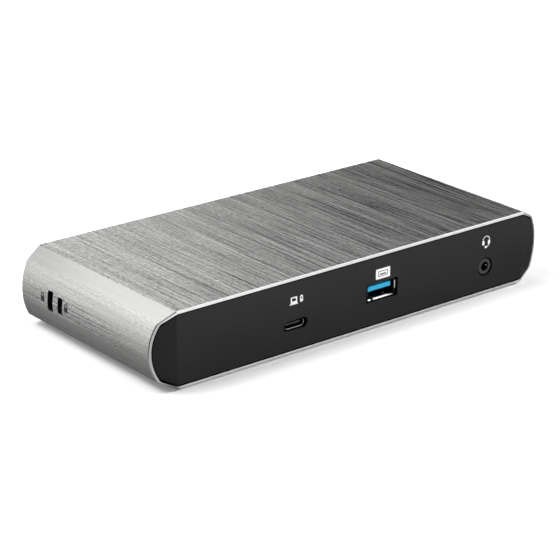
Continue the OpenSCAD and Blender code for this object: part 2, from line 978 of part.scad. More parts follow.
module power_socket_pin() {
    pin_y = mouth_y + power_pin_in;
    color([0.78, 0.72, 0.58]) at_rear()
        run_y([power_x, pin_y, power_axis_z], mouth_y + power_bore_depth - pin_y) circle(d = power_pin_d);
}

module power_socket_spring() {
    color([0.80, 0.78, 0.70]) at_rear()
        translate([
            power_x - spring_w / 2,
            mouth_y + spring_in + spring_play,
            power_axis_z - power_bore / 2 - spring_drop
        ])
            cube([spring_w, power_bore_depth - spring_in - 2 * spring_play, spring_t]);
}

// Network socket: a shielded housing with a stepped mouth for the plug and its latch

network_z = board_top + network.y / 2;
network_shell_t = 0.25;
plug = [11.8, 6.9];
plug_rise = 1.4;
plug_depth = 12.5;
latch = [6.4, 3.2];
latch_lap = 1;
lamp = [2.6, 2.2];
lamp_x = 6.2;
lamp_rise = 1;
lamp_z = network_z - network.y / 2 + network_shell_t + lamp_rise + lamp.y / 2;
wire_t = 0.35;
wire_count = 8;
wire_pitch = 1.02;
wire_in = 2;
wire_reach = 9.5;
wire_bend = 1.5;
wire_sag = 2.2;

module network_socket_shell() {
    color([0.76, 0.77, 0.79]) at_rear() run_y([network_x, mouth_y, network_z], network_depth) difference() {
        plate(network);
        plate(network - 2 * network_shell_t * [1, 1]);
    }
}

module network_socket_housing() {
    inner = network - 2 * (network_shell_t + insert_gap) * [1, 1];
    plug_z = network_z + plug_rise;
    color([0.08, 0.08, 0.08]) at_rear() difference() {
        run_y([network_x, mouth_y, network_z], network_depth) plate(inner);
        run_y([network_x, mouth_y, plug_z], plug_depth) plate(plug);
        run_y([network_x, mouth_y, plug_z - plug.y / 2 - latch.y / 2 + latch_lap / 2], plug_depth)
            plate([latch.x, latch.y + latch_lap]);
        for (s = [-1, 1]) {
            run_y([network_x + s * lamp_x, mouth_y, lamp_z], network_depth)
                plate(lamp + 2 * insert_gap * [1, 1]);
        }
    }
}

// Eight spring wires hang from the roof of the mouth and slope down towards the back
module network_socket_contacts() {
    roof = network_z + plug_rise + plug.y / 2;
    wire = [
        [0, 0],
        [wire_bend, 0],
        [wire_reach, wire_t - wire_sag],
        [wire_reach, -wire_sag],
        [0, -wire_t]
    ];
    color([0.85, 0.68, 0.30]) at_rear() for (dx = spread(wire_count, wire_pitch)) {
        translate([network_x + dx - wire_t / 2, mouth_y + wire_in, roof]) rotate([90, 0, 90])
            linear_extrude(height = wire_t) polygon(wire);
    }
}

module network_socket_lamps() {
    color([0.75, 0.85, 0.55]) at_rear() for (s = [-1, 1]) {
        run_y([network_x + s * lamp_x, mouth_y, lamp_z], network_depth) plate(lamp);
    }
}

// Video sockets: a mouth with slanted lower corners

video_corner = [1.7, 1.8];
video_z = board_top + video.y / 2 + shell_t;

function video_outline() = [
    [-video.x / 2, video.y / 2],
    [video.x / 2, video.y / 2],
    [video.x / 2, video_corner.y - video.y / 2],
    [video.x / 2 - video_corner.x, -video.y / 2],
    [video_corner.x - video.x / 2, -video.y / 2],
    [-video.x / 2, video_corner.y - video.y / 2]
];

module video_socket_shells() {
    color([0.72, 0.73, 0.75]) at_rear() for (x = video_xs) {
        run_y([x, mouth_y, video_z], video_depth) difference() {
            polygon(grown(video_outline(), shell_t));
            polygon(video_outline());
        }
    }
}

module video_socket_tongues() {
    color([0.06, 0.06, 0.06]) at_rear() for (x = video_xs) {
        run_y([x, mouth_y + video_depth - video_base, video_z], video_base)
            polygon(grown(video_outline(), -insert_gap));
        run_y([x, mouth_y + blade_in, video_z], video_depth - blade_in - video_base / 2) plate(video_blade);
    }
}

module video_socket_contacts() {
    color([0.85, 0.68, 0.30]) at_rear() for (x = video_xs, s = [-1, 1]) {
        pins(x, video_z + s * video_blade.y / 2, video_pin_count, video_pin_pitch, video_pin_w,
            video_depth - video_base - 2 * blade_in, s);
    }
}

// Display sockets: a mouth with one cut corner

display_corner = 2.3;
display_z = board_top + display.y / 2 + shell_t;

function display_outline() = [
    [-display.x / 2, display.y / 2],
    [display.x / 2, display.y / 2],
    [display.x / 2, -display.y / 2],
    [display_corner - display.x / 2, -display.y / 2],
    [-display.x / 2, display_corner - display.y / 2]
];

module display_socket_shells() {
    color([0.72, 0.73, 0.75]) at_rear() for (x = display_xs) {
        run_y([x, mouth_y, display_z], display_depth) difference() {
            polygon(grown(display_outline(), shell_t));
            polygon(display_outline());
        }
    }
}

module display_socket_tongues() {
    color([0.06, 0.06, 0.06]) at_rear() for (x = display_xs) {
        run_y([x, mouth_y + display_depth - display_base, display_z], display_base)
            polygon(grown(display_outline(), -insert_gap));
        run_y([x, mouth_y + blade_in, display_z], display_depth - blade_in - display_base / 2)
            plate(display_blade);
    }
}

module display_socket_contacts() {
    color([0.85, 0.68, 0.30]) at_rear() for (x = display_xs, s = [-1, 1]) {
        pins(x, display_z + s * display_blade.y / 2, display_pin_count, display_pin_pitch, display_pin_w,
            display_depth - display_base - 2 * blade_in, s);
    }
}

sleeve();
front_panel();
rear_panel();
feet();
base_screws();
chassis_tray();
front_panel_screws();
rear_panel_screws();
lock_plate();
lock_plate_screws();
standoffs();
main_board();
board_screws();
controller_chip();
hub_chips();
thermal_pads();
heat_spreader();
spreader_screws();
shield_can();
inductors();
capacitors();
network_transformer();
clock_crystal();
host_socket_shell();
host_socket_tongue();
host_socket_contacts();
data_socket_shell();
data_socket_tongue();
data_socket_contacts();
audio_socket_bush();
audio_socket_body();
audio_socket_contacts();
power_socket_body();
power_socket_pin();
power_socket_spring();
network_socket_shell();
network_socket_housing();
network_socket_contacts();
network_socket_lamps();
rear_data_shells();
rear_data_tongues();
rear_data_contacts();
video_socket_shells();
video_socket_tongues();
video_socket_contacts();
display_socket_shells();
display_socket_tongues();
display_socket_contacts();
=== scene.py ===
# %% [markdown]
# # A docking station in brushed aluminium
#
# The real dock is one flat aluminium tube, brushed from front to back, with a black plastic panel
# let into each open end. Sockets look out of both panels, and the left side has two lock slots.
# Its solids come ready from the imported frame, in metres, and stay where they are. This script
# gives them what a solid lacks: cut rims, softened edges, printed signs, finishes and a studio.

# %% Load the frame
from math import atan2, cos, hypot, pi, radians, sin, sqrt, tan, tau

import bmesh
import bpy
from mathutils import Matrix, Vector


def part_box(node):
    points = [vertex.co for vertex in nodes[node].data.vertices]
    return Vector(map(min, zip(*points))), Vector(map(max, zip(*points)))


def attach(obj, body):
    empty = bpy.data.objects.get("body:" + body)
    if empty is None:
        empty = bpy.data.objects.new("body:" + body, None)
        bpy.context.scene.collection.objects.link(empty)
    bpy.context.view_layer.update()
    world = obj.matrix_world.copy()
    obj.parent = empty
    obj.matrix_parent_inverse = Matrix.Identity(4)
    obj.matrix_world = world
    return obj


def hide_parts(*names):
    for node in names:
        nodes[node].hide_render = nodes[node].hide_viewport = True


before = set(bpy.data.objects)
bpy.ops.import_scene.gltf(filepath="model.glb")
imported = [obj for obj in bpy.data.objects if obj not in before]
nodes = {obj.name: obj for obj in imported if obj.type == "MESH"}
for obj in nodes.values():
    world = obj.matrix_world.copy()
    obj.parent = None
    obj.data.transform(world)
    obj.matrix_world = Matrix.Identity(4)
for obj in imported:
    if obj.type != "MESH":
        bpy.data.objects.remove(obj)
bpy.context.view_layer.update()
scene = bpy.context.scene
MM = 0.001

# %% [markdown]
# ## The camera
#
# A product picture like this one is taken with a long lens from about three quarters of a metre
# away, so the edges run almost parallel. The camera could be aimed with a constraint, but three
# angles and a position say the same thing and can be read off: it stands to the left of the
# front, about 21 degrees up, and leans half a degree.

# %% Camera
AZIMUTH, ELEVATION, LEAN = (radians(a) for a in (-39.568, 21.108, 0.552))
CAMERA_AT = Vector((-470.16, -564.91, 291.90)) * MM
LENS, SENSOR, FAR = 135.14, 36, 20
level = cos(ELEVATION)
back = Vector((sin(AZIMUTH) * level, -cos(AZIMUTH) * level, sin(ELEVATION)))
right = Vector((0, 0, 1)).cross(back).normalized()
turn = Matrix.Rotation(LEAN, 3, back)
view_axes = Matrix((turn @ right, turn @ back.cross(right), back)).transposed()
camera = bpy.data.objects.new("camera", bpy.data.cameras.new("camera"))
camera.data.lens = LENS
camera.data.sensor_width = SENSOR
camera.data.clip_end = FAR
camera.matrix_world = Matrix.Translation(CAMERA_AT) @ view_axes.to_4x4()
scene.collection.objects.link(camera)
scene.camera = camera
print("camera at", [round(v / MM) for v in CAMERA_AT], "lens", LENS)

# %% [markdown]
# ## Building node trees by hand
#
# Shaders and geometry trees are both graphs, so the same helpers write both. `put` adds a node and
# feeds its sockets with plain values or with another node's output, and `first` does the same for
# a node of which only the first output is wanted. `calc` is one step of arithmetic and `times` a
# product, `split` and `joined` take a vector apart and put one together, and `new_tree` opens a
# group with named inputs and outputs.

# %% Helpers for node trees
def feed(tree, node, feeds):
    for name, value in feeds.items():
        socket = node.inputs[name]
        if isinstance(value, bpy.types.NodeSocket):
            tree.links.new(value, socket)
        else:
            socket.default_value = value


def put(tree, kind, feeds=None, **settings):
    made = tree.nodes.new(kind)
    for name, value in settings.items():
        setattr(made, name, value)
    feed(tree, made, feeds or {})
    return made


def first(tree, kind, feeds=None, **settings):
    return put(tree, kind, feeds, **settings).outputs[0]


def calc(tree, operation, *terms):
    return first(tree, "ShaderNodeMath", dict(enumerate(terms)), operation=operation)


def times(tree, *terms):
    return calc(tree, "MULTIPLY", *terms)


def split(tree, vector):
    return put(tree, "ShaderNodeSeparateXYZ", {"Vector": vector}).outputs


def joined(tree, **parts):
    return first(tree, "ShaderNodeCombineXYZ", parts)


def new_tree(kind, name, inputs, outputs):
    tree = bpy.data.node_groups.new(name, kind)
    for label, (socket_type, value) in inputs.items():
        socket = tree.interface.new_socket(label, in_out="INPUT", socket_type=socket_type)
        if value is not None:
            socket.default_value = value
    for label, socket_type in outputs.items():
        tree.interface.new_socket(label, in_out="OUTPUT", socket_type=socket_type)
    return tree, tree.nodes.new("NodeGroupInput").outputs, tree.nodes.new("NodeGroupOutput")


NUMBER, VECTOR = "NodeSocketFloat", "NodeSocketVector"
SHAPE, FINISH, WHOLE = "NodeSocketGeometry", "NodeSocketMaterial", "NodeSocketInt"
print("helpers for trees ready")

# %% [markdown]
# ## Turning a recipe into a plain mesh
#
# Modifiers and geometry trees are recipes. The finished piece has to be a plain mesh with its
# place in its vertices, so `plain` asks Blender for the evaluated mesh and throws the recipe
# away. `shade` makes it smooth and keeps the edges sharp that turn by more than an angle, and
# `paint` gives a second finish to the faces that a rule picks by place and direction. `settle`
# hands the piece over: the body that it rides on and the solid that it replaces.

# %% Helpers for pieces
def add_object(name, data, material=None):
    made = bpy.data.objects.new(name, data)
    scene.collection.objects.link(made)
    if material:
        data.materials.append(material)
    return made


def plain(carrier):
    bpy.context.view_layer.update()
    graph = bpy.context.evaluated_depsgraph_get()
    mesh = bpy.data.meshes.new_from_object(
        carrier.evaluated_get(graph), preserve_all_data_layers=True, depsgraph=graph)
    carrier.modifiers.clear()
    carrier.data = mesh
    return carrier


def shade(mesh, degrees):
    mesh.polygons.foreach_set("use_smooth", [True] * len(mesh.polygons))
    mesh.set_sharp_from_angle(angle=radians(degrees))


def run_tree(carrier, tree, settings):
    modifier = carrier.modifiers.new("tree", "NODES")
    modifier.node_group = tree
    for item in tree.interface.items_tree:
        if item.in_out == "INPUT" and item.name in settings:
            modifier[item.identifier] = settings[item.name]
    return plain(carrier)


def mesh_from(build, closed=True):
    if closed:
        bmesh.ops.recalc_face_normals(build, faces=build.faces)
    mesh = bpy.data.meshes.new("mesh")
    build.to_mesh(mesh)
    build.free()
    return mesh


def paint(piece, material, chosen):
    index = len(piece.data.materials)
    piece.data.materials.append(material)
    for face in piece.data.polygons:
        if chosen(face.center / MM, face.normal):
            face.material_index = index


def settle(piece, slot, *replaced):
    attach(piece, "root")
    if replaced:
        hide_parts(*replaced)
    print(piece.name, len(piece.data.polygons), "faces")


def box_mm(node):
    return [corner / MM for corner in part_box(node)]


print("helpers for pieces ready")

# %% [markdown]
# ## Two surface effects that several finishes share
#
# Brushing leaves long thin lines, each a little lighter or darker and a little higher or lower
# than the next. Stretching a noise pattern does this: across the lines it is squeezed to their
# width, along them it is drawn out to their length, and each lane starts at a place of its own. A
# broad layer under a fine one keeps the eye from finding the repeat, and a short one breaks the
# lines up into scratches. Moulded plastic and plated metal have a fine even grain instead. Both
# effects are groups, so each material only gives its own sizes.

# %% Shader groups
def stretched_noise(tree, across, along, width, length, detail):
    lane = calc(tree, "DIVIDE", across, width)
    start = first(tree, "ShaderNodeTexWhiteNoise", {
        "W": calc(tree, "FLOOR", lane)}, noise_dimensions="1D")
    run = calc(tree, "ADD", calc(tree, "DIVIDE", along, length), start)
    return first(tree, "ShaderNodeTexNoise", {
        "Vector": joined(tree, X=lane, Y=run), "Scale": 1.0, "Detail": detail, "Roughness": 0.6,
    }, noise_dimensions="2D")


def spread_out(tree, value, half):
    return first(tree, "ShaderNodeMapRange", {
        "Value": value, "From Min": 0.5 - half, "From Max": 0.5 + half})


# Each layer: width in line widths, length in times a size, that size, detail, half range, weight.
BRUSH_LAYERS = {
    "fine": (1.0, 1.0, "Line Length", 3.0, 0.06, 0.78),
    "broad": (5.0, 2.5, "Line Length", 2.0, 0.14, 0.06),
    "broken": (1.7, 9.0, "Line Width", 1.0, 0.14, 0.62),
}
TONE_BASE, GRAIN_HALF = -0.23, 0.25
brush_marks, given, result = new_tree("ShaderNodeTree", "Brush marks", {
    "Vector": (VECTOR, None), "Line Width": (NUMBER, 0.0005), "Line Length": (NUMBER, 0.03),
}, {"Tone": NUMBER, "Fine": NUMBER})
where = split(brush_marks, given["Vector"])
layers, tone = {}, TONE_BASE
for name, (wider, longer, size, detail, half, weight) in BRUSH_LAYERS.items():
    noise = stretched_noise(
        brush_marks, where["X"], where["Y"],
        times(brush_marks, given["Line Width"], wider),
        times(brush_marks, given[size], longer), detail)
    layers[name] = spread_out(brush_marks, noise, half)
    tone = calc(brush_marks, "MULTIPLY_ADD", layers[name], weight, tone)
feed(brush_marks, result, {"Tone": tone, "Fine": layers["fine"]})

grain, given, result = new_tree("ShaderNodeTree", "Fine grain", {
    "Vector": (VECTOR, None), "Grain": (NUMBER, 0.0002), "Patch": (NUMBER, 0.02),
}, {"Height": NUMBER, "Patches": NUMBER})
for size, detail, label in (("Grain", 2.0, "Height"), ("Patch", 3.0, "Patches")):
    noise = first(grain, "ShaderNodeTexNoise", {
        "Vector": given["Vector"], "Scale": calc(grain, "DIVIDE", 1.0, given[size]),
        "Detail": detail})
    feed(grain, result, {label: spread_out(grain, noise, GRAIN_HALF)})
print("groups:", brush_marks.name, "and", grain.name)

# %% [markdown]
# ## Brushed aluminium
#
# Brushing makes a metal rough across its lines and smooth along them, so lights smear into bands
# at right angles to the lines. The Anisotropic value does that; it needs to know which way the
# lines run, and the sleeve's own map says so: U runs round the sleeve and V from front to back.
# The tone of each line goes into the colour, the lighter lines are also the rougher ones, and a
# faint relief goes into the normal. Where the bevels are polished the lines have all but gone, so
# an attribute turns them down there.

# %% Brushed metal
BRUSH_MAP, POLISH = "brush", "polish"
POLISH_SHARE, POLISH_TONE, POLISH_FINE = 0.9, 0.6, 0.5
BRUSH_RELIEF = 0.02 * MM


def new_material(name):
    made = bpy.data.materials.new(name)
    made.use_nodes = True
    tree = made.node_tree
    return made, tree, tree.nodes["Principled BSDF"]


def tint(tree, factor, dark, light):
    feeds = {0: factor, 6: (*dark, 1), 7: (*light, 1)}
    return put(tree, "ShaderNodeMix", feeds, data_type="RGBA").outputs[2]


def ranged(tree, factor, low, high):
    return first(tree, "ShaderNodeMapRange", {"Value": factor, "To Min": low, "To Max": high})


def bump(tree, height, strength, distance):
    return first(tree, "ShaderNodeBump", {
        "Height": height, "Strength": strength, "Distance": distance})


def faded(tree, value, rest, share):
    return first(tree, "ShaderNodeMix", {0: share, 2: value, 3: rest}, data_type="FLOAT")


def brushed_metal(name, dark, light, roughness, line_width, line_length, anisotropy, depth):
    made, tree, shader = new_material(name)
    marks = put(tree, "ShaderNodeGroup", {
        "Vector": first(tree, "ShaderNodeUVMap", uv_map=BRUSH_MAP),
        "Line Width": line_width * MM, "Line Length": line_length * MM,
    }, node_tree=brush_marks).outputs
    polish = put(tree, "ShaderNodeAttribute", attribute_name=POLISH).outputs["Fac"]
    share = times(tree, polish, POLISH_SHARE)
    fine = faded(tree, marks["Fine"], POLISH_FINE, share)
    feed(tree, shader, {
        "Base Color": tint(tree, faded(tree, marks["Tone"], POLISH_TONE, share), dark, light),
        "Roughness": ranged(tree, fine, *roughness),
        "Normal": bump(tree, fine, depth, BRUSH_RELIEF),
        "Tangent": first(tree, "ShaderNodeTangent", direction_type="UV_MAP", uv_map=BRUSH_MAP),
        "Metallic": 1.0, "Anisotropic": anisotropy,
    })
    return made


sleeve_brushed = brushed_metal(
    "sleeve_brushed", (0.16, 0.159, 0.156), (0.95, 0.945, 0.93), (0.11, 0.51),
    line_width=0.20, line_length=60, anisotropy=0.6, depth=0.4)
rim_cut = brushed_metal(
    "rim_cut", (0.84, 0.84, 0.83), (0.93, 0.93, 0.92), (0.30, 0.24),
    line_width=2.0, line_length=0.2, anisotropy=0.2, depth=0.05)
print("metals:", sleeve_brushed.name, rim_cut.name)

# %% [markdown]
# ## Plastics, plated metal and the rest
#
# These finishes differ only in colour, shine and grain, so one function makes them all. The grain
# group reads Object coordinates, which are metres in the dock's own frame, and gives each surface
# a fine relief and slow patches in which colour and shine drift a little, as on real mouldings.
# A colour is three numbers, or one where it is a plain grey.

# %% Grained finishes
GRAIN_RELIEF = 0.05 * MM
METAL = 1.0


def object_place(tree):
    return put(tree, "ShaderNodeTexCoord").outputs["Object"]


def grained(name, dark, light, roughness, grain_size, depth, metallic=0.0, shine=0.5):
    made, tree, shader = new_material(name)
    dark, light = (c if isinstance(c, tuple) else (c, c, c) for c in (dark, light))
    cloud = put(tree, "ShaderNodeGroup", {
        "Vector": object_place(tree), "Grain": grain_size * MM}, node_tree=grain).outputs
    feed(tree, shader, {
        "Base Color": tint(tree, cloud["Patches"], dark, light),
        "Roughness": ranged(tree, cloud["Patches"], *roughness),
        "Normal": bump(tree, cloud["Height"], depth, GRAIN_RELIEF),
        "Metallic": metallic, "Specular IOR Level": shine,
    })
    return made


panel_black = grained("panel_black", 0.007, 0.010, (0.48, 0.42), 0.12, 0.10, shine=0.32)
socket_black = grained("socket_black", 0.004, 0.007, (0.55, 0.45), 0.15, 0.10, shine=0.3)
bush_grey = grained("bush_grey", 0.036, 0.048, (0.5, 0.4), 0.15, 0.10, shine=0.4)
foot_rubber = grained("foot_rubber", 0.012, 0.020, (0.85, 0.75), 0.25, 0.35, shine=0.3)
tongue_blue = grained(
    "tongue_blue", (0.006, 0.45, 0.80), (0.012, 0.54, 0.90), (0.42, 0.34), 0.2, 0.08)
chip_epoxy = grained("chip_epoxy", 0.012, 0.02, (0.6, 0.5), 0.1, 0.2)
pad_silicone = grained(
    "pad_silicone", (0.22, 0.29, 0.39), (0.28, 0.35, 0.45), (0.8, 0.7), 0.3, 0.2)
lamp_clear = grained(
    "lamp_clear", (0.62, 0.68, 0.55), (0.74, 0.79, 0.66), (0.3, 0.2), 0.4, 0.05)
# The front socket shells are painted dark as the shade inside their mouths.
shell_painted_shade = grained("shell_painted_shade", 0.030, 0.045, (0.45, 0.35), 0.2, 0.05, METAL)
# Bright nickel, partly the plating and partly a painted highlight, for the lips and springs.
highlight_nickel = grained(
    "highlight_nickel", (0.80, 0.80, 0.81), (0.88, 0.88, 0.89), (0.22, 0.16), 0.2, 0.03, METAL)
# The walls of the lock slots are painted dark as shade.
slot_painted_shade = grained("slot_painted_shade", 0.010, 0.016, (0.7, 0.6), 0.2, 0.10, shine=0.2)
socket_steel = grained(
    "socket_steel", (0.62, 0.62, 0.63), (0.72, 0.72, 0.73), (0.34, 0.26), 0.2, 0.05, METAL)
sheet_steel = grained(
    "sheet_steel", (0.48, 0.49, 0.50), (0.60, 0.61, 0.62), (0.45, 0.32), 0.3, 0.08, METAL)
screw_black = grained("screw_black", 0.05, 0.08, (0.45, 0.35), 0.15, 0.10, METAL)
screw_nickel = grained(
    "screw_nickel", (0.55, 0.55, 0.56), (0.66, 0.66, 0.67), (0.32, 0.25), 0.2, 0.05, METAL)
standoff_brass = grained(
    "standoff_brass", (0.62, 0.44, 0.17), (0.74, 0.55, 0.25), (0.35, 0.25), 0.2, 0.05, METAL)
spreader_metal = grained(
    "spreader_metal", (0.58, 0.58, 0.59), (0.70, 0.70, 0.71), (0.42, 0.32), 0.25, 0.08, METAL)
contact_gold = grained(
    "contact_gold", (0.68, 0.46, 0.14), (0.82, 0.60, 0.24), (0.30, 0.22), 0.1, 0.04, METAL)
print_white = grained(
    "print_white", (0.90, 0.90, 0.89), (0.96, 0.96, 0.95), (0.6, 0.5), 0.08, 0.10)
print_grey = grained("print_grey", 0.010, 0.016, (0.6, 0.5), 0.08, 0.10)
print("finishes:", len(bpy.data.materials))

# %% [markdown]
# ## The board's green laminate
#
# The circuit board hides inside, but it should still be one when the dock is opened. Its copper
# lanes show through the varnish as a slightly lighter green. A brick pattern with long thin
# bricks draws such lanes without a picture: they run where the bricks' joints are.

# %% Laminate
LANE_STRENGTH, LANE_RELIEF, VARNISH_ROUGHNESS = 0.3, 0.03 * MM, 0.3
board_green, tree, shader = new_material("board_green")
lanes = put(tree, "ShaderNodeTexBrick", {
    "Vector": object_place(tree), "Scale": 260.0, "Mortar Size": 0.06, "Brick Width": 3.2,
    "Row Height": 0.32, "Color1": (0.008, 0.06, 0.025, 1), "Color2": (0.010, 0.07, 0.03, 1),
    "Mortar": (0.02, 0.13, 0.05, 1),
}).outputs
feed(tree, shader, {
    "Base Color": lanes["Color"], "Roughness": VARNISH_ROUGHNESS,
    "Normal": bump(tree, lanes["Fac"], LANE_STRENGTH, LANE_RELIEF),
})
print("laminate:", board_green.name)

# %% [markdown]
# ## The sleeve's section
#
# Cut across, the sleeve has a flat top and bottom, a bevel at each corner, a soft crease, and a
# side that bulges as part of a wide circle. It could be drawn as a Bezier curve, but the folding
# follows a rule: straight, arc, straight, arc, arc. `quarter` writes that rule for the upper
# right, moved inwards by any distance, so the inner wall is the same rule with a deeper inset.
# The wall is drawn a little thinner at the bevels and underneath, as the narrow rim there shows.
# Extra points just before each arc keep the flat faces flat when they are shaded smooth. Each
# point also says how far the brushing is polished away there: not at all on the flat faces, fully
# on the bevels and a little less on the sides.

# %% Section of the sleeve
low, high = box_mm("sleeve")
BODY_W, BODY_D, BODY_H = high - low
MID_Z = (low.z + high.z) / 2
EDGE_RUN, SIDE_R, CREASE_R, FOLD_R, WALL, SWEEP = 9.9, 19.5, 3.0, 0.7, 1.1, 2.8
BEVEL = radians(28)
TOP_HALF = BODY_W / 2 - EDGE_RUN
LEAST_R, HOLD = 0.3, 0.25
BEVEL_THINNED, FLOOR_THINNED = radians(2.5), 0.018
TOP_POLISH, BEVEL_POLISH, SIDE_POLISH = 0.0, 1.0, 0.8
FOLD_STEPS, CREASE_STEPS, SIDE_STEPS = 5, 10, 12


def arc(centre, radius, start, stop, steps):
    angles = [start + (stop - start) * i / steps for i in range(steps + 1)]
    return [centre + radius * Vector((cos(a), sin(a))) for a in angles]


def quarter(inset, slope):
    turn = tan(slope / 2)
    along = Vector((cos(slope), -sin(slope)))
    inward = Vector((-sin(slope), -cos(slope)))
    corner = Vector((TOP_HALF - inset * turn, BODY_H / 2 - inset))
    fold = max(FOLD_R - inset, LEAST_R)
    crease = max(CREASE_R - inset, LEAST_R)
    side_c = Vector((BODY_W / 2 - SIDE_R, 0))
    off = corner + crease * inward - side_c
    run = off.dot(along)
    span = SIDE_R - inset - crease
    crease_c = side_c + off + (sqrt(run * run - off.dot(off) + span * span) - run) * along
    lean = atan2(crease_c.y - side_c.y, crease_c.x - side_c.x)
    tilt = pi / 2 - slope
    top_fold = arc(corner + fold * Vector((-turn, -1)), fold, pi / 2, tilt, FOLD_STEPS)
    soft_crease = arc(crease_c, crease, tilt, lean, CREASE_STEPS)
    side = arc(side_c, SIDE_R - inset, lean, 0, SIDE_STEPS)[1:]
    flat_top = [Vector((0, corner.y)), top_fold[0] - Vector((HOLD, 0))]
    bevel = [top_fold[-1] + HOLD * along, soft_crease[0] - HOLD * along]
    return ([(p, TOP_POLISH) for p in flat_top + top_fold] + [(p, BEVEL_POLISH) for p in bevel]
            + [(p, SIDE_POLISH) for p in soft_crease + side])


def section(inset):
    depth = inset / WALL
    upper = quarter(inset, BEVEL - BEVEL_THINNED * depth)
    drop = -1 - FLOOR_THINNED * depth
    right = upper + [(Vector((p.x, p.y * drop)), polish) for p, polish in reversed(upper[:-1])]
    left = [(Vector((-p.x, p.y)), polish) for p, polish in reversed(right[1:-1])]
    return right + left


outline = [point for point, polish in section(0)]
print("section:", len(outline), "points,", round(max(p.x for p in outline) * 2, 2), "mm wide")

# %% [markdown]
# ## Lofting the sleeve
#
# The wall is a strip that runs round the section, and its own edge runs: outer face, cut rim at
# the back, inner face, cut rim at the front. Joining one ring of points to the next gives a
# closed tube with real thickness and small chamfers on its rims, which catch the light as the
# machined edge of the real one does. Faces of the rims are marked, because they get another
# finish. Every corner gets a place on the brush map at the same time.

# %% Loft with rims
RIM_OUT, RIM_IN = 0.28, 0.045
RIM_MARK = "rim"


def wall_rings():
    deep = WALL - RIM_IN
    back = [(0, RIM_OUT), (RIM_OUT, 0), (deep, 0), (WALL, RIM_IN)]
    half = BODY_D / 2
    return ([(inset, half - step) for inset, step in back]
            + [(inset, step - half) for inset, step in reversed(back)])


def ring_faces(build, near, far):
    sides = zip(near, near[1:] + near[:1], far[1:] + far[:1], far)
    return [build.faces.new(side) for side in sides]


def loft(rings):
    build = bmesh.new()
    brush = build.loops.layers.uv.new(BRUSH_MAP)
    rim = build.faces.layers.bool.new(RIM_MARK)
    worn = build.verts.layers.float.new(POLISH)
    rows = []
    for inset, y in rings:
        rows.append([])
        for point, polish in section(inset):
            vert = build.verts.new((point.x * MM, y * MM, (point.y + MID_Z) * MM))
            vert[worn] = polish
            rows[-1].append(vert)
    count = len(outline)
    around = [0.0]
    for i in range(count):
        around.append(around[-1] + (outline[(i + 1) % count] - outline[i]).length * MM)
    run = [0.0]
    for (inset, y), (ahead, y_ahead) in zip(rings, rings[1:] + rings[:1]):
        run.append(run[-1] + hypot(ahead - inset, y_ahead - y) * MM)
    for r in range(len(rings)):
        ahead = (r + 1) % len(rings)
        is_rim = rings[r][0] != rings[ahead][0]
        for i, face in enumerate(ring_faces(build, rows[r], rows[ahead])):
            face[rim] = is_rim
            places = ((i, r), (i + 1, r), (i + 1, r + 1), (i, r + 1))
            for corner, (u, v) in zip(face.loops, places):
                corner[brush].uv = (around[u], run[v])
    return mesh_from(build)


sleeve = add_object("sleeve_skin", loft(wall_rings()))
print("loft:", len(sleeve.data.polygons), "faces")

# %% [markdown]
# ## Sweeping the ends back
#
# Seen from above, both ends are straight between the top creases and swept back beyond them. The
# rule is short: a point's distance past the crease, times a slope, moves it towards the middle.
# A geometry tree states the rule with named inputs, so the sweep can be changed in one place.
# The tree also gives the marked rims their own finish.

# %% Tree for swept ends
def shape_tree(name, inputs):
    inputs = {"Geometry": (SHAPE, None), **inputs}
    return new_tree("GeometryNodeTree", name, inputs, {"Geometry": SHAPE})


def real_and_dressed(tree, shape, finish):
    real = first(tree, "GeometryNodeRealizeInstances", {"Geometry": shape})
    return first(tree, "GeometryNodeSetMaterial", {"Geometry": real, "Material": finish})


tree, given, result = shape_tree("Swept ends", {
    "Top Half": (NUMBER, 0.08), "Edge Run": (NUMBER, 0.01), "Sweep": (NUMBER, 0.003),
    "Skin": (FINISH, None), "Rim": (FINISH, None),
})
where = split(tree, first(tree, "GeometryNodeInputPosition"))
past = calc(tree, "SUBTRACT", calc(tree, "ABSOLUTE", where["X"]), given["Top Half"])
past = calc(tree, "MAXIMUM", past, 0.0)
slope = calc(tree, "DIVIDE", given["Sweep"], given["Edge Run"])
inwards = times(tree, calc(tree, "SIGN", where["Y"]), -1.0)
shift = times(tree, times(tree, past, slope), inwards)
moved = first(tree, "GeometryNodeSetPosition", {
    "Geometry": given["Geometry"], "Offset": joined(tree, Y=shift)})
marked = put(tree, "GeometryNodeInputNamedAttribute", {"Name": RIM_MARK}, data_type="BOOLEAN")
rimmed = first(tree, "GeometryNodeSetMaterial", {
    "Geometry": real_and_dressed(tree, moved, given["Skin"]),
    "Selection": marked.outputs["Attribute"], "Material": given["Rim"]})
feed(tree, result, {"Geometry": rimmed})

run_tree(sleeve, tree, {
    "Top Half": TOP_HALF * MM, "Edge Run": EDGE_RUN * MM, "Sweep": SWEEP * MM,
    "Skin": sleeve_brushed, "Rim": rim_cut,
})
print("sleeve finishes:", [m.name for m in sleeve.data.materials])

# %% [markdown]
# ## Punching the lock slots
#
# Two upright slots in the left side take cable locks. They are punched through the finished wall
# with a boolean, as a press would do it, with cutters that have the slots' rounded corners. The
# punched walls are painted dark as shade, so faces there that look along the side get another finish.

# %% Lock slots
LOCK_Y, SLOT_PITCH, LOCK_RISE, SLOT_R = 20.4, 6.2, 1.0, 0.5
LOCK_SIZE, SMALL_SIZE = (3.3, 7.4), (2.9, 6.1)
CUT_DEPTH, PUNCHED_DEPTH, SLOT_EDGE, ALONG_SIDE = 4.0, 3.0, 0.1, 0.5
SLEEVE_SHARP = 25


def rounded(width, height, radius, steps=4):
    points = []
    for turn, (sx, sy) in enumerate(((1, 1), (-1, 1), (-1, -1), (1, -1))):
        middle = Vector((sx * (width / 2 - radius), sy * (height / 2 - radius)))
        start = turn * pi / 2
        points += arc(middle, radius, start, start + pi / 2, steps)
    return points


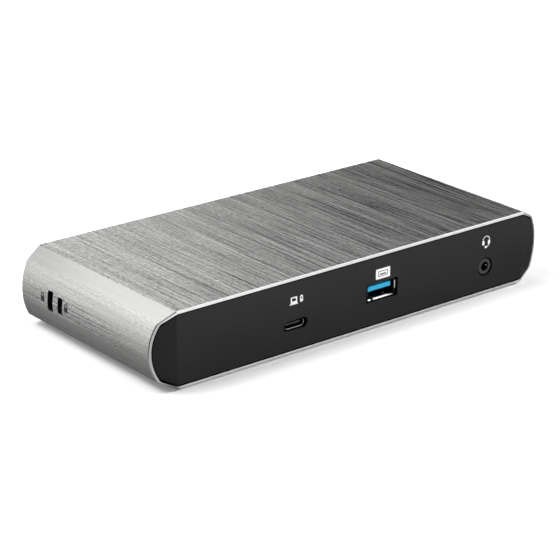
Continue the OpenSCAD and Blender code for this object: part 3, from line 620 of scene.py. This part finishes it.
def slot_cutter(size, y):
    build = bmesh.new()
    face = build.faces.new([
        build.verts.new((-BODY_W * MM, (y + p.x) * MM, (MID_Z + LOCK_RISE + p.y) * MM))
        for p in rounded(*size, SLOT_R)])
    for part in bmesh.ops.extrude_face_region(build, geom=[face])["geom"]:
        if isinstance(part, bmesh.types.BMVert):
            part.co.x = (CUT_DEPTH - BODY_W / 2) * MM
    return add_object("cutter", mesh_from(build))


def in_slot(place, normal):
    across = abs(place.y - LOCK_Y + SLOT_PITCH / 2) < SLOT_PITCH
    upright = abs(place.z - MID_Z - LOCK_RISE) < LOCK_SIZE[1] / 2 + SLOT_EDGE
    punched = place.x < PUNCHED_DEPTH - BODY_W / 2 and abs(normal.x) < ALONG_SIDE
    return punched and across and upright


for size, y in ((LOCK_SIZE, LOCK_Y), (SMALL_SIZE, LOCK_Y - SLOT_PITCH)):
    cutter = slot_cutter(size, y)
    punch = sleeve.modifiers.new("punch", "BOOLEAN")
    punch.operation = "DIFFERENCE"
    punch.solver = "EXACT"
    punch.object = cutter
    plain(sleeve)
    bpy.data.objects.remove(cutter)
shade(sleeve.data, SLEEVE_SHARP)
# Paint the slot walls dark as shade.
paint(sleeve, slot_painted_shade, in_slot)
settle(sleeve, "sleeve_metal", "sleeve")

# %% [markdown]
# ## Softening the moulded and pressed pieces
#
# No real edge is perfectly sharp: the tiny round on a moulding is what draws a thin light line
# along it. The solids have the right shape, so a copy of each is cleaned of its loose triangles
# and its sharp edges are bevelled. Doing this by hand for every panel and socket would take
# hours, and the Bevel modifier with an angle limit finds the same edges. The data socket's shell
# is also split across, so that parts of its lip can carry the painted highlight.

# %% Softened copies
SAME_POINT, FLAT_ANGLE, SHARP_ANGLE, SOFT_FOLD = 0.002 * MM, radians(0.5), radians(35), 14
LIP_ENDS, HIGHLIGHT_GAP = (4.6, 16.1), (5.6, 7.0)


def softened(node, width, material, slot, segments=2, splits=()):
    name = node.replace("_socket", "") + "_soft"
    build = bmesh.new()
    build.from_mesh(nodes[node].data)
    bmesh.ops.remove_doubles(build, verts=build.verts, dist=SAME_POINT)
    bmesh.ops.dissolve_limit(
        build, angle_limit=FLAT_ANGLE, verts=build.verts, edges=build.edges)
    for x in splits:
        bmesh.ops.bisect_plane(
            build, geom=build.verts[:] + build.edges[:] + build.faces[:],
            plane_co=(x * MM, 0, 0), plane_no=(1, 0, 0))
    clean = bpy.data.meshes.new(name)
    build.verts.index_update()
    clean.from_pydata(
        [v.co for v in build.verts], [], [[v.index for v in f.verts] for f in build.faces])
    build.free()
    piece = add_object(name, clean, material)
    bevel = piece.modifiers.new("bevel", "BEVEL")
    bevel.width = width * MM
    bevel.segments = segments
    bevel.limit_method = "ANGLE"
    bevel.angle_limit = SHARP_ANGLE
    plain(piece)
    shade(piece.data, SOFT_FOLD)
    settle(piece, slot, node)
    return piece


softened("front_panel", 0.15, panel_black, "panel_plastic")
softened("rear_panel", 0.12, panel_black, "panel_plastic")
bush = softened("audio_socket_bush", 0.14, bush_grey, "bush_grey", 3)
softened("data_socket_tongue", 0.12, tongue_blue, "tongue_blue")
softened("rear_data_tongues", 0.12, tongue_blue, "tongue_blue")
# The front shells are painted dark as shade; the painted highlight goes on their lips below.
data_shell = softened(
    "data_socket_shell", 0.13, shell_painted_shade, "socket_steel", 3, sorted(LIP_ENDS + HIGHLIGHT_GAP))
softened("rear_data_shells", 0.10, socket_steel, "socket_steel", 3)
host_shell = softened("host_socket_shell", 0.13, shell_painted_shade, "socket_steel", 3)
softened("host_socket_tongue", 0.08, bush_grey, "socket_black")
softened("network_socket_shell", 0.06, socket_steel, "socket_steel")
softened("network_socket_housing", 0.10, socket_black, "socket_black")
softened("video_socket_shells", 0.06, socket_steel, "socket_steel")
softened("display_socket_shells", 0.06, socket_steel, "socket_steel")
softened("power_socket_body", 0.15, socket_black, "socket_black")

# %% [markdown]
# ## Painted highlights on the lips and painted shade in the sockets
#
# The lips of the two front shells get a bright nickel that is partly their plating and partly a
# painted highlight, while the rest of each shell is painted dark as the shade inside the mouth,
# and the bore of the audio socket is painted black as shade. The lips need no shape of their
# own: the faces that look out of the mouth, within a few boxes, get the bright finish. Along the
# data socket's lower lip the painted highlight leaves a gap, which stays dark. A spring tip in
# the same bright nickel shows in the audio bore, and two short spring lips guide the plug at the
# data socket's sides.

# %% Lips, bore and spring tip
DATA_LIP_X, DATA_LIP_Z = (3.0, 16.4), (10.9, 12.1)
HOST_LIP, HOST_CORNER, HOST_TOP = 0.6, 1.2, 0.8
BORE_R, BORE_EDGE, BORE_STEEP = 1.8, 0.05, 0.6
TIP_R, TIP_SHARP, TIP_OFF = 0.32, 60, Vector((1.42, 0.8, 0.1))
LOOKS_OUT = -0.15


def highlight_boxes(*boxes):
    return lambda place, normal: normal.y < LOOKS_OUT and any(
        x0 < place.x < x1 and z0 < place.z < z1 for (x0, x1), (z0, z1) in boxes)


# The lip faces in these boxes get the painted highlight; the rest of each shell stays in the painted
# shade.
paint(data_shell, highlight_nickel, highlight_boxes(
    ((DATA_LIP_X[0], HIGHLIGHT_GAP[0]), DATA_LIP_Z), ((HIGHLIGHT_GAP[1], DATA_LIP_X[1]), DATA_LIP_Z)))
low, high = box_mm("host_socket_shell")
paint(host_shell, highlight_nickel, highlight_boxes(
    ((low.x, high.x - HOST_CORNER), (low.z, low.z + HOST_LIP)),
    ((high.x - HOST_CORNER, high.x), (low.z, high.z - HOST_TOP))))

low, high = box_mm("audio_socket_bush")
bore = Vector(((low.x + high.x) / 2, low.y, (low.z + high.z) / 2))
# The bore's walls are painted black as shade.
paint(bush, socket_black, lambda place, normal: abs(normal.y) < BORE_STEEP and hypot(
    place.x - bore.x, place.z - bore.z) < BORE_R + BORE_EDGE)
# The spring tip carries the bright nickel, partly a painted highlight, where the bore shows a glint.
build = bmesh.new()
bmesh.ops.create_uvsphere(
    build, u_segments=24, v_segments=12, radius=TIP_R * MM,
    matrix=Matrix.Translation((bore + TIP_OFF) * MM))
spring_tip = add_object("audio_spring_tip", mesh_from(build), highlight_nickel)
shade(spring_tip.data, TIP_SHARP)
settle(spring_tip, "contact_gold")

SIDE_LIP, SIDE_LIP_Z = ((0.0, 0.62), (0.6, 0.0), (0.6, 0.22), (0.2, 0.62)), (13.5, 16.5)
MOUTH_Y = -BODY_D / 2 + 0.8
DATA_X, HALF_MOUTH = 10.4, 6.35
# The side lips take the same bright nickel, partly a painted highlight.
build = bmesh.new()
for side in (-1, 1):
    ends = [[build.verts.new(Vector((DATA_X + side * (HALF_MOUTH + out), MOUTH_Y + deep, z)) * MM)
             for deep, out in SIDE_LIP] for z in SIDE_LIP_Z]
    for end in ends:
        build.faces.new(end)
    ring_faces(build, *ends)
settle(add_object("data_side_lips", mesh_from(build), highlight_nickel), "socket_steel")

# %% [markdown]
# ## Rows of contacts
#
# Each socket holds rows of thin gold blades, all alike. One tree makes them: a blade with a
# narrowed tip is set on a line of points, that row on two levels, and the pair in each socket.
# Instances keep this cheap until the end, when they are made real. Counts, pitches and sizes are
# inputs, so the same tree serves every kind of socket.

# %% Tree for contact rows
def narrowed(tree, shape, place, beyond, limit, share):
    chosen = first(tree, "FunctionNodeCompare", {
        0: beyond, 1: limit}, data_type="FLOAT", operation="GREATER_THAN")
    narrow = first(tree, "ShaderNodeVectorMath", {0: place, 1: share}, operation="MULTIPLY")
    return first(tree, "GeometryNodeSetPosition", {
        "Geometry": shape, "Selection": chosen, "Position": narrow})


def grow(name, tree, slot, node, settings):
    piece = run_tree(add_object(name, bpy.data.meshes.new(name)), tree, settings)
    shade(piece.data, GROWN_SHARP)
    settle(piece, slot, node)


TIP_FROM, GROWN_SHARP = 0.45, 30
tree, given, result = shape_tree("Contact rows", {
    "Blade": (VECTOR, None), "Tip": (NUMBER, 0.6), "Count": (WHOLE, 4), "Pitch": (VECTOR, None),
    "Rows": (WHOLE, 1), "Row Step": (VECTOR, None), "Sockets": (WHOLE, 1),
    "Socket Step": (VECTOR, None), "Start": (VECTOR, None), "Finish": (FINISH, None),
})
blade = first(tree, "GeometryNodeMeshCube", {
    "Size": given["Blade"], "Vertices X": 2, "Vertices Y": 4, "Vertices Z": 2})
at = first(tree, "GeometryNodeInputPosition")
row = narrowed(
    tree, blade, at, calc(tree, "ABSOLUTE", split(tree, at)["Y"]),
    times(tree, split(tree, given["Blade"])["Y"], TIP_FROM),
    joined(tree, X=given["Tip"], Y=1.0, Z=given["Tip"]))
for count, pitch in (("Count", "Pitch"), ("Rows", "Row Step"), ("Sockets", "Socket Step")):
    line = first(tree, "GeometryNodeMeshLine", {
        "Count": given[count], "Offset": given[pitch]}, mode="OFFSET")
    row = first(tree, "GeometryNodeInstanceOnPoints", {"Points": line, "Instance": row})
row = first(tree, "GeometryNodeTransform", {"Geometry": row, "Translation": given["Start"]})
feed(tree, result, {"Geometry": real_and_dressed(tree, row, given["Finish"])})
contact_rows = tree


def contacts(name, node, blade, count, pitch, rows=1, sockets=1, socket_step=0.0):
    low, high = box_mm(node)
    grow(name, contact_rows, "contact_gold", node, {
        "Blade": [v * MM for v in blade], "Count": count, "Pitch": (pitch * MM, 0, 0),
        "Rows": rows, "Row Step": (0, 0, (high.z - low.z - blade[2]) * MM),
        "Sockets": sockets, "Socket Step": (socket_step * MM, 0, 0),
        "Start": [(low[i] + blade[i] / 2) * MM for i in range(3)], "Finish": contact_gold,
    })


contacts("host_contact_rows", "host_socket_contacts", (0.26, 3.4, 0.12), 12, 0.5, rows=2)
contacts("data_contact_row", "data_socket_contacts", (1.1, 8.6, 0.12), 4, 2.4)
contacts("rear_data_contact_rows", "rear_data_contacts", (1.1, 8.6, 0.12), 4, 2.4, 1, 3, 15.6)
contacts("video_contact_rows", "video_socket_contacts", (0.45, 6.7, 0.12), 9, 1.0, 2, 2, 17.4)
contacts("display_contact_rows", "display_socket_contacts", (0.5, 7.2, 0.12), 10, 1.1, 2, 2, 18.6)

# %% [markdown]
# ## Screws in the rear panel
#
# Four screws hold the rear panel, with their heads let into it. A head is a low drum, narrowed at
# the top, with a cross recess. The tree makes one screw from two cylinders, cuts the cross with
# two boxes, and sets it on the four corners of a grid, so the screws cannot differ. A turned
# profile could do the same, but the cross needs a boolean anyway.

# %% Tree for panel screws
def shifted(tree, shape, turn=(0, 0, 0), **offset):
    return first(tree, "GeometryNodeTransform", {
        "Geometry": shape, "Translation": joined(tree, **offset), "Rotation": turn})


def drum(tree, radius, height, sides):
    return first(tree, "GeometryNodeMeshCylinder", {
        "Vertices": sides, "Radius": radius, "Depth": height})


def together(tree, *shapes):
    heap = put(tree, "GeometryNodeJoinGeometry")
    for shape in shapes:
        tree.links.new(shape, heap.inputs[0])
    return heap.outputs[0]


def on_corners(tree, shape, size_x, size_y):
    corners = first(tree, "GeometryNodeMeshGrid", {
        "Size X": size_x, "Size Y": size_y, "Vertices X": 2, "Vertices Y": 2})
    return first(tree, "GeometryNodeInstanceOnPoints", {"Points": corners, "Instance": shape})


HEAD_NARROWED, HEAD_SIDES, SHANK_SIDES = (0.86, 0.86, 1.0), 48, 24
tree, given, result = shape_tree("Panel screws", {
    "Head Radius": (NUMBER, 0.0022), "Head Height": (NUMBER, 0.0012),
    "Shank Radius": (NUMBER, 0.0013), "Shank Length": (NUMBER, 0.005), "Cross": (VECTOR, None),
    "Spread X": (NUMBER, 0.15), "Spread Z": (NUMBER, 0.016), "Centre": (VECTOR, None),
    "Finish": (FINISH, None),
})
half_head, half_shank = (
    times(tree, given[size], 0.5) for size in ("Head Height", "Shank Length"))
at = first(tree, "GeometryNodeInputPosition")
head = narrowed(
    tree, drum(tree, given["Head Radius"], given["Head Height"], HEAD_SIDES), at,
    split(tree, at)["Z"], 0.0, HEAD_NARROWED)
bars = []
for turn in (0, pi / 2):
    bar = first(tree, "GeometryNodeMeshCube", {"Size": given["Cross"]})
    bars.append(shifted(tree, bar, (0, 0, turn), Z=half_head))
crossed = first(tree, "GeometryNodeMeshBoolean", {
    0: head, 1: together(tree, *bars)}, operation="DIFFERENCE", solver="EXACT")
shank = shifted(
    tree, drum(tree, given["Shank Radius"], given["Shank Length"], SHANK_SIDES),
    Z=times(tree, calc(tree, "ADD", half_head, half_shank), -1.0))
screws = on_corners(tree, together(tree, crossed, shank), given["Spread X"], given["Spread Z"])
screws = first(tree, "GeometryNodeTransform", {
    "Geometry": screws, "Translation": given["Centre"], "Rotation": (-pi / 2, 0, 0)})
feed(tree, result, {"Geometry": real_and_dressed(tree, screws, given["Finish"])})

low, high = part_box("rear_panel_screws")
HEAD_R, HEAD_H, SHANK_R = 2.2 * MM, 1.2 * MM, 1.25 * MM
CROSS = (2.6 * MM, 0.55 * MM, 1.2 * MM)
grow("rear_screw_heads", tree, "screw_steel", "rear_panel_screws", {
    "Head Radius": HEAD_R, "Head Height": HEAD_H, "Shank Radius": SHANK_R,
    "Shank Length": high.y - low.y - HEAD_H, "Cross": CROSS,
    "Spread X": high.x - low.x - 2 * HEAD_R, "Spread Z": high.z - low.z - 2 * HEAD_R,
    "Centre": (0, high.y - HEAD_H / 2, (low.z + high.z) / 2), "Finish": screw_black,
})

# %% [markdown]
# ## Rubber feet
#
# Four flat pads keep the dock off the table. Each is an outline with round ends, filled, drawn
# out to its thickness and narrowed a little towards the table, as a moulded pad is so that it
# leaves its mould. The tree works on the outline, which is shorter than modelling the pad.

# %% Tree for feet
ROUND_END, ROUND_STEPS, SAME_RIM = 0.499, 12, 0.001 * MM
PAD_LEVELS = ((0.7, 1.0), (0.3, 0.94))
tree, given, result = shape_tree("Foot pads", {
    "Length": (NUMBER, 0.024), "Width": (NUMBER, 0.01), "Thickness": (NUMBER, 0.001),
    "Spread X": (NUMBER, 0.136), "Spread Y": (NUMBER, 0.059), "Finish": (FINISH, None),
})
edge = first(tree, "GeometryNodeCurvePrimitiveQuadrilateral", {
    "Width": given["Length"], "Height": given["Width"]})
edge = first(tree, "GeometryNodeFilletCurve", {
    "Curve": edge, "Count": ROUND_STEPS,
    "Radius": times(tree, given["Width"], ROUND_END)}, mode="POLY")
sheet = first(tree, "GeometryNodeFillCurve", {"Curve": edge}, mode="NGONS")
grown, lower = sheet, True
for share, shrink in PAD_LEVELS:
    drop = times(tree, given["Thickness"], -share)
    drawn = put(tree, "GeometryNodeExtrudeMesh", {
        "Mesh": grown, "Selection": lower, "Offset": joined(tree, Z=drop),
        "Offset Scale": 1.0, "Individual": False}, mode="FACES").outputs
    lower = drawn["Top"]
    grown = first(tree, "GeometryNodeScaleElements", {
        "Geometry": drawn["Mesh"], "Selection": lower, "Scale": shrink})
lid = first(tree, "GeometryNodeFlipFaces", {"Mesh": sheet})
pad = first(tree, "GeometryNodeMergeByDistance", {
    "Geometry": together(tree, grown, lid), "Distance": SAME_RIM})
pads = on_corners(tree, pad, given["Spread X"], given["Spread Y"])
pads = shifted(tree, pads, Z=given["Thickness"])
feed(tree, result, {"Geometry": real_and_dressed(tree, pads, given["Finish"])})

low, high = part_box("feet")
FOOT_L, FOOT_W = 24 * MM, 10 * MM
grow("foot_pads", tree, "foot_rubber", "feet", {
    "Length": FOOT_L, "Width": FOOT_W, "Thickness": high.z - low.z,
    "Spread X": high.x - low.x - FOOT_L, "Spread Y": high.y - low.y - FOOT_W,
    "Finish": foot_rubber,
})

# %% [markdown]
# ## Printed signs
#
# Signs are printed on with a pad, so they have almost no thickness. Each is drawn from a few
# outlines: plain plates, rings between an outer and an inner outline, and bands along a line.
# A wafer of ink, two hundredths of a millimetre thick, lies just clear of the surface below it.
# The pictures are plain ones that anybody may use: a computer, a battery, a socket, a headset and
# a padlock. On the bulging left side every point is moved out to the side's circle.

# %% Ink outlines
INK, INK_GAP = 0.02, 0.001
FRONT_Y = -BODY_D / 2


def wafer(build, outer, inner=None):
    low, high = (
        [[build.verts.new((p.x, p.y, depth)) for p in line] for line in (outer, inner) if line]
        for depth in (0, INK))
    for near, far in [*zip(low, high), *((low, high) if inner else ())]:
        ring_faces(build, near, far)
    if not inner:
        build.faces.new(low[0])
        build.faces.new(high[0])


def moved_by(points, x, y):
    return [p + Vector((x, y)) for p in points]


def band(points, width):
    left, right = [], []
    for i, p in enumerate(points):
        ahead = points[min(i + 1, len(points) - 1)] - points[max(i - 1, 0)]
        side = Vector((-ahead.y, ahead.x)).normalized() * width / 2
        left.append(p + side)
        right.append(p - side)
    return left + right[::-1]


def print_sign(name, shapes, place, material):
    build = bmesh.new()
    for shape in shapes:
        wafer(build, *shape)
    for vert in build.verts:
        vert.co = Vector(place(vert.co)) * MM
    settle(add_object(name, mesh_from(build), material), None)


def on_front(x, z):
    return lambda p: (x + p.x, FRONT_Y - INK_GAP - p.z, MID_Z + z + p.y)


def on_left(y, z):
    def place(p):
        height = z + p.y
        reach = sqrt((SIDE_R + INK_GAP + p.z) ** 2 - height ** 2)
        return -(BODY_W / 2 - SIDE_R + reach), y - p.x, MID_Z + height
    return place


print("ink is", INK, "mm thick")

# %% [markdown]
# ## The pictures
#
# Each picture is a short function that gives its outlines in millimetres, seen from outside. They
# could be curves that are filled, but most are plates with rounded corners, and one outline
# function already draws those.

# %% Signs
def computer():
    lid, glass = rounded(2.9, 2.1, 0.3), rounded(1.8, 1.15, 0.15)
    base = [Vector(p) for p in ((-1.35, -0.55), (1.35, -0.55), (1.95, -1.4), (-1.95, -1.4))]
    return [(moved_by(lid, 0, 0.4), moved_by(glass, 0, 0.4)), (base,)]


def battery():
    case, room = rounded(1.3, 2.3, 0.2), rounded(0.6, 1.6, 0.1)
    cap, charge = rounded(0.6, 0.25, 0.05), rounded(0.6, 0.75, 0.05)
    return [(moved_by(case, 0, -0.15), moved_by(room, 0, -0.15)), (moved_by(cap, 0, 1.15),),
            (moved_by(charge, 0, -0.55),)]


def socket_plate():
    plate, hole = rounded(6.9, 3.9, 0.35), rounded(4.6, 2.1, 0.15)
    rim, room = rounded(4.0, 1.6, 0.15), rounded(3.1, 0.5, 0.1)
    return [(plate, hole), (rim, moved_by(room, 0, -0.2))]


def headset():
    bow = band(arc(Vector((0, 0.45)), 1.75, radians(-5), radians(185), 24), 0.28)
    pads = [(moved_by(rounded(1.15, 1.8, 0.5), x, -0.35),) for x in (-1.45, 1.45)]
    boom = band(arc(Vector((0.0, -0.75)), 1.5, radians(-80), radians(-20), 8), 0.3)
    dot = arc(Vector((-0.15, -2.1)), 0.5, 0, tau * 15 / 16, 15)
    return [(bow,), *pads, (boom,), (dot,)]


def padlock():
    legs = [Vector((side * 0.7, 0.25)) for side in (1, -1)]
    bow = band([legs[0], *arc(Vector((0, 0.7)), 0.7, 0, pi, 12), legs[1]], 0.5)
    return [(moved_by(rounded(2.3, 1.85, 0.25), 0, -0.675),), (bow,)]


print_sign("sign_computer", computer(), on_front(-31.24, 5.62), print_white)
print_sign("sign_battery", battery(), on_front(-27.8, 5.81), print_white)
print_sign("sign_socket", socket_plate(), on_front(10.62, 6.18), print_white)
print_sign("sign_headset", headset(), on_front(62.77, 6.5), print_white)
for y in (25.1, 10.5):
    print_sign("sign_padlock_%d" % y, padlock(), on_left(y, 1.4), print_grey)

# %% [markdown]
# ## Finishes for the solids that stay as they are
#
# What hides inside, or is too small to show an edge, keeps its solid and only gets a finish.

# %% Finishes by solid
FINISHES = {
    sheet_steel: "chassis_tray lock_plate shield_can",
    screw_black: "base_screws front_panel_screws lock_plate_screws",
    screw_nickel: "board_screws spreader_screws",
    standoff_brass: "standoffs",
    board_green: "main_board",
    chip_epoxy: "controller_chip hub_chips network_transformer inductors",
    pad_silicone: "thermal_pads",
    spreader_metal: "heat_spreader capacitors clock_crystal",
    socket_black: "audio_socket_body video_socket_tongues display_socket_tongues",
    contact_gold: "audio_socket_contacts network_socket_contacts power_socket_pin power_socket_spring",
    lamp_clear: "network_socket_lamps",
}
for material, names in FINISHES.items():
    for name in names.split():
        nodes[name].data.materials.clear()
        nodes[name].data.materials.append(material)
print("solids with a finish:", sum(len(n.split()) for n in FINISHES.values()))

# %% [markdown]
# ## The studio
#
# The picture stands on white: table and background melt into each other. The world gives an even
# light, and four wide lamps, overhead, right, left and in front, add the soft shadow that lies
# close under the overhanging sides. For the camera and for mirrors the table also glows: a little
# under the dock's edges, not at all in the narrow shadow beside them, more further out, so that
# it reaches white there, and fully where it meets the background.

# %% World, table and lamps
scene.view_settings.view_transform = "Standard"
WHITE, BLACK = (1, 1, 1, 1), (0, 0, 0, 1)
SKY_DIFFUSE, TABLE_HALF, TABLE_TONE = 0.18, 3.0, (0.85, 0.85, 0.85, 1)
GLOW_HALF = {"X": 84, "Y": BODY_D / 2}
TABLE_GLOW = ((-6, 0.10), (-1, 0.10), (0.8, 0.0), (4, 0.0), (9, 0.13), (400, 0.13), (1000, 1.0))


def seen_directly(tree):
    path = put(tree, "ShaderNodeLightPath").outputs
    mirrored = calc(tree, "MAXIMUM", path["Is Glossy Ray"], path["Is Transmission Ray"])
    return calc(tree, "MAXIMUM", path["Is Camera Ray"], mirrored)


def ramp(tree, value, stops):
    low, high = stops[0][0], stops[-1][0]
    share = first(tree, "ShaderNodeMapRange", {
        "Value": value, "From Min": low * MM, "From Max": high * MM})
    made = put(tree, "ShaderNodeValToRGB", {"Fac": share})
    bar = made.color_ramp.elements
    while len(bar) < len(stops):
        bar.new(0.5)
    for element, (place, level) in zip(bar, stops):
        element.position = (place - low) / (high - low)
        element.color = (level, level, level, 1)
    return made.outputs["Color"]


def soft_lamp(name, at, aim, size, watts):
    data = bpy.data.lights.new(name, "AREA")
    data.shape = "DISK"
    data.size = size
    data.energy = watts
    lamp = add_object(name, data)
    lamp.location = at
    lamp.rotation_euler = (Vector(aim) - Vector(at)).to_track_quat("-Z", "Y").to_euler()
    lamp.visible_glossy = False


scene.world = bpy.data.worlds.new("studio")
scene.world.use_nodes = True
tree = scene.world.node_tree
feed(tree, tree.nodes["Background"], {
    "Color": WHITE, "Strength": ranged(tree, seen_directly(tree), SKY_DIFFUSE, 1.0)})

table_white, tree, shader = new_material("table_white")
spot = split(tree, object_place(tree))
away = [calc(tree, "SUBTRACT", calc(tree, "ABSOLUTE", spot[axis]), half * MM)
        for axis, half in GLOW_HALF.items()]
glow = ramp(tree, calc(tree, "MAXIMUM", *away), TABLE_GLOW)
feed(tree, shader, {
    "Base Color": TABLE_TONE, "Roughness": 1.0, "Specular IOR Level": 0.0,
    "Emission Color": WHITE,
    "Emission Strength": times(tree, seen_directly(tree), glow),
})
build = bmesh.new()
bmesh.ops.create_grid(build, x_segments=1, y_segments=1, size=TABLE_HALF)
add_object("table", mesh_from(build, closed=False), table_white)

soft_lamp("overhead", (-0.65, 0.3, 0.9), (-0.65, 0.3, 0), 0.75, 12.2)
soft_lamp("right", (0.9, -0.2, 0.6), (0, 0, 0), 0.6, 13)
soft_lamp("left", (-0.7, 0.6, 0.5), (0, 0, 0), 0.5, 5.4)
soft_lamp("front", (0.8, -0.9, 0.35), (0, 0, 0), 0.5, 4)
print("world, table and lamps ready")

# %% [markdown]
# ## Cards that only the metal sees
#
# Metal shows its surroundings, so a photographer places cards to shade it. Here a long card
# behind the dock is bright at the left and falls off to dark at the right, which gives the top
# its slow gradient. Grey cards on the table, left, right and in front, darken the lower half of
# the sides and the lower rim. A dark corner and a dark wall stand to the left of the front, with
# a lighter strip beside them, and a softbox above draws the light line on the upper rim. All are
# hidden from the camera and throw no shadow. Each falls off along X, Y or Z, or stays level
# between two equal stops.

# %% Cards
HIDDEN_FROM = ("camera", "diffuse", "transmission", "volume_scatter", "shadow")


def card(name, corners, material):
    build = bmesh.new()
    build.faces.new([build.verts.new(Vector(c) * MM) for c in corners])
    made = add_object(name, mesh_from(build, closed=False), material)
    for ray in HIDDEN_FROM:
        setattr(made, "visible_" + ray, False)


def flat_card(name, x_range, y_range, material, z=0.5):
    (x0, x1), (y0, y1) = x_range, y_range
    card(name, ((x0, y0, z), (x1, y0, z), (x1, y1, z), (x0, y1, z)), material)


def card_light(name, **falls):
    made, tree, shader = new_material(name)
    level = 1.0
    for axis, stops in falls.items():
        place = split(tree, object_place(tree))[axis]
        level = times(tree, level, ramp(tree, place, stops))
    feed(tree, shader, {
        "Base Color": BLACK, "Specular IOR Level": 0.0, "Emission Color": WHITE,
        "Emission Strength": level})
    return made


back_fall = card_light(
    "back_fall",
    X=((-220, 1.2), (-60, 0.93), (20, 0.78), (70, 0.53), (110, 0.29), (170, 0.11), (240, 0.015),
       (500, 0.01)),
    Z=((0, 0.72), (40, 0.76), (60, 0.92), (74, 1.06), (88, 1.08), (100, 0.88), (112, 0.68),
       (124, 0.74), (140, 1.27), (200, 1.38)))
left_fall = card_light(
    "left_fall", X=((-300, 0.8), (-150, 0.62), (-117, 0.42), (-100, 0.25), (-84, 0.12)))
right_fall = card_light("right_fall", X=((94, 0.13), (160, 0.18), (300, 0.1)))
front_fall = card_light(
    "front_fall", X=((-80, 0.98), (0, 0.98), (30, 0.88), (80, 0.84)),
    Y=((-120, 1.15), (-85, 0.95), (-60, 0.46), (-52, 0.36), (-46, 0.42), (-42, 0.52), (-39, 0.46)))
corner_dark = card_light("corner_dark", Y=((-400, 0.06), (-48, 0.06)))
strip_light = card_light("strip_light", Y=((-120, 0.5), (-46, 0.5)))
softbox_light = card_light(
    "softbox_light", Y=((-260, 0.7), (-190, 0.8), (-130, 2.5), (0, 2.5)))
card("card_back", ((-600, 150, 0.5), (900, 150, 0.5), (900, 150, 420), (-600, 150, 420)), back_fall)
flat_card("card_left", (-500, -80.5), (-500, 150), left_fall)
flat_card("card_right", (94, 900), (-60, 150), right_fall)
flat_card("card_front", (-80.5, 900), (-600, -60), front_fall)
flat_card("card_near", (-80.5, 94), (-60, -39), front_fall)
flat_card("card_corner", (-300, -96), (-400, -48), corner_dark, 1.0)
flat_card("card_strip", (-96, -80.5), (-120, -46), strip_light, 1.0)
card("card_room", ((-295, -82, 1), (-40, -260, 1), (-40, -260, 420), (-295, -82, 420)), corner_dark)
card("softbox", ((170, -260, 420), (430, -260, 300), (430, 0, 320), (170, 0, 450)), softbox_light)
print("cards ready")
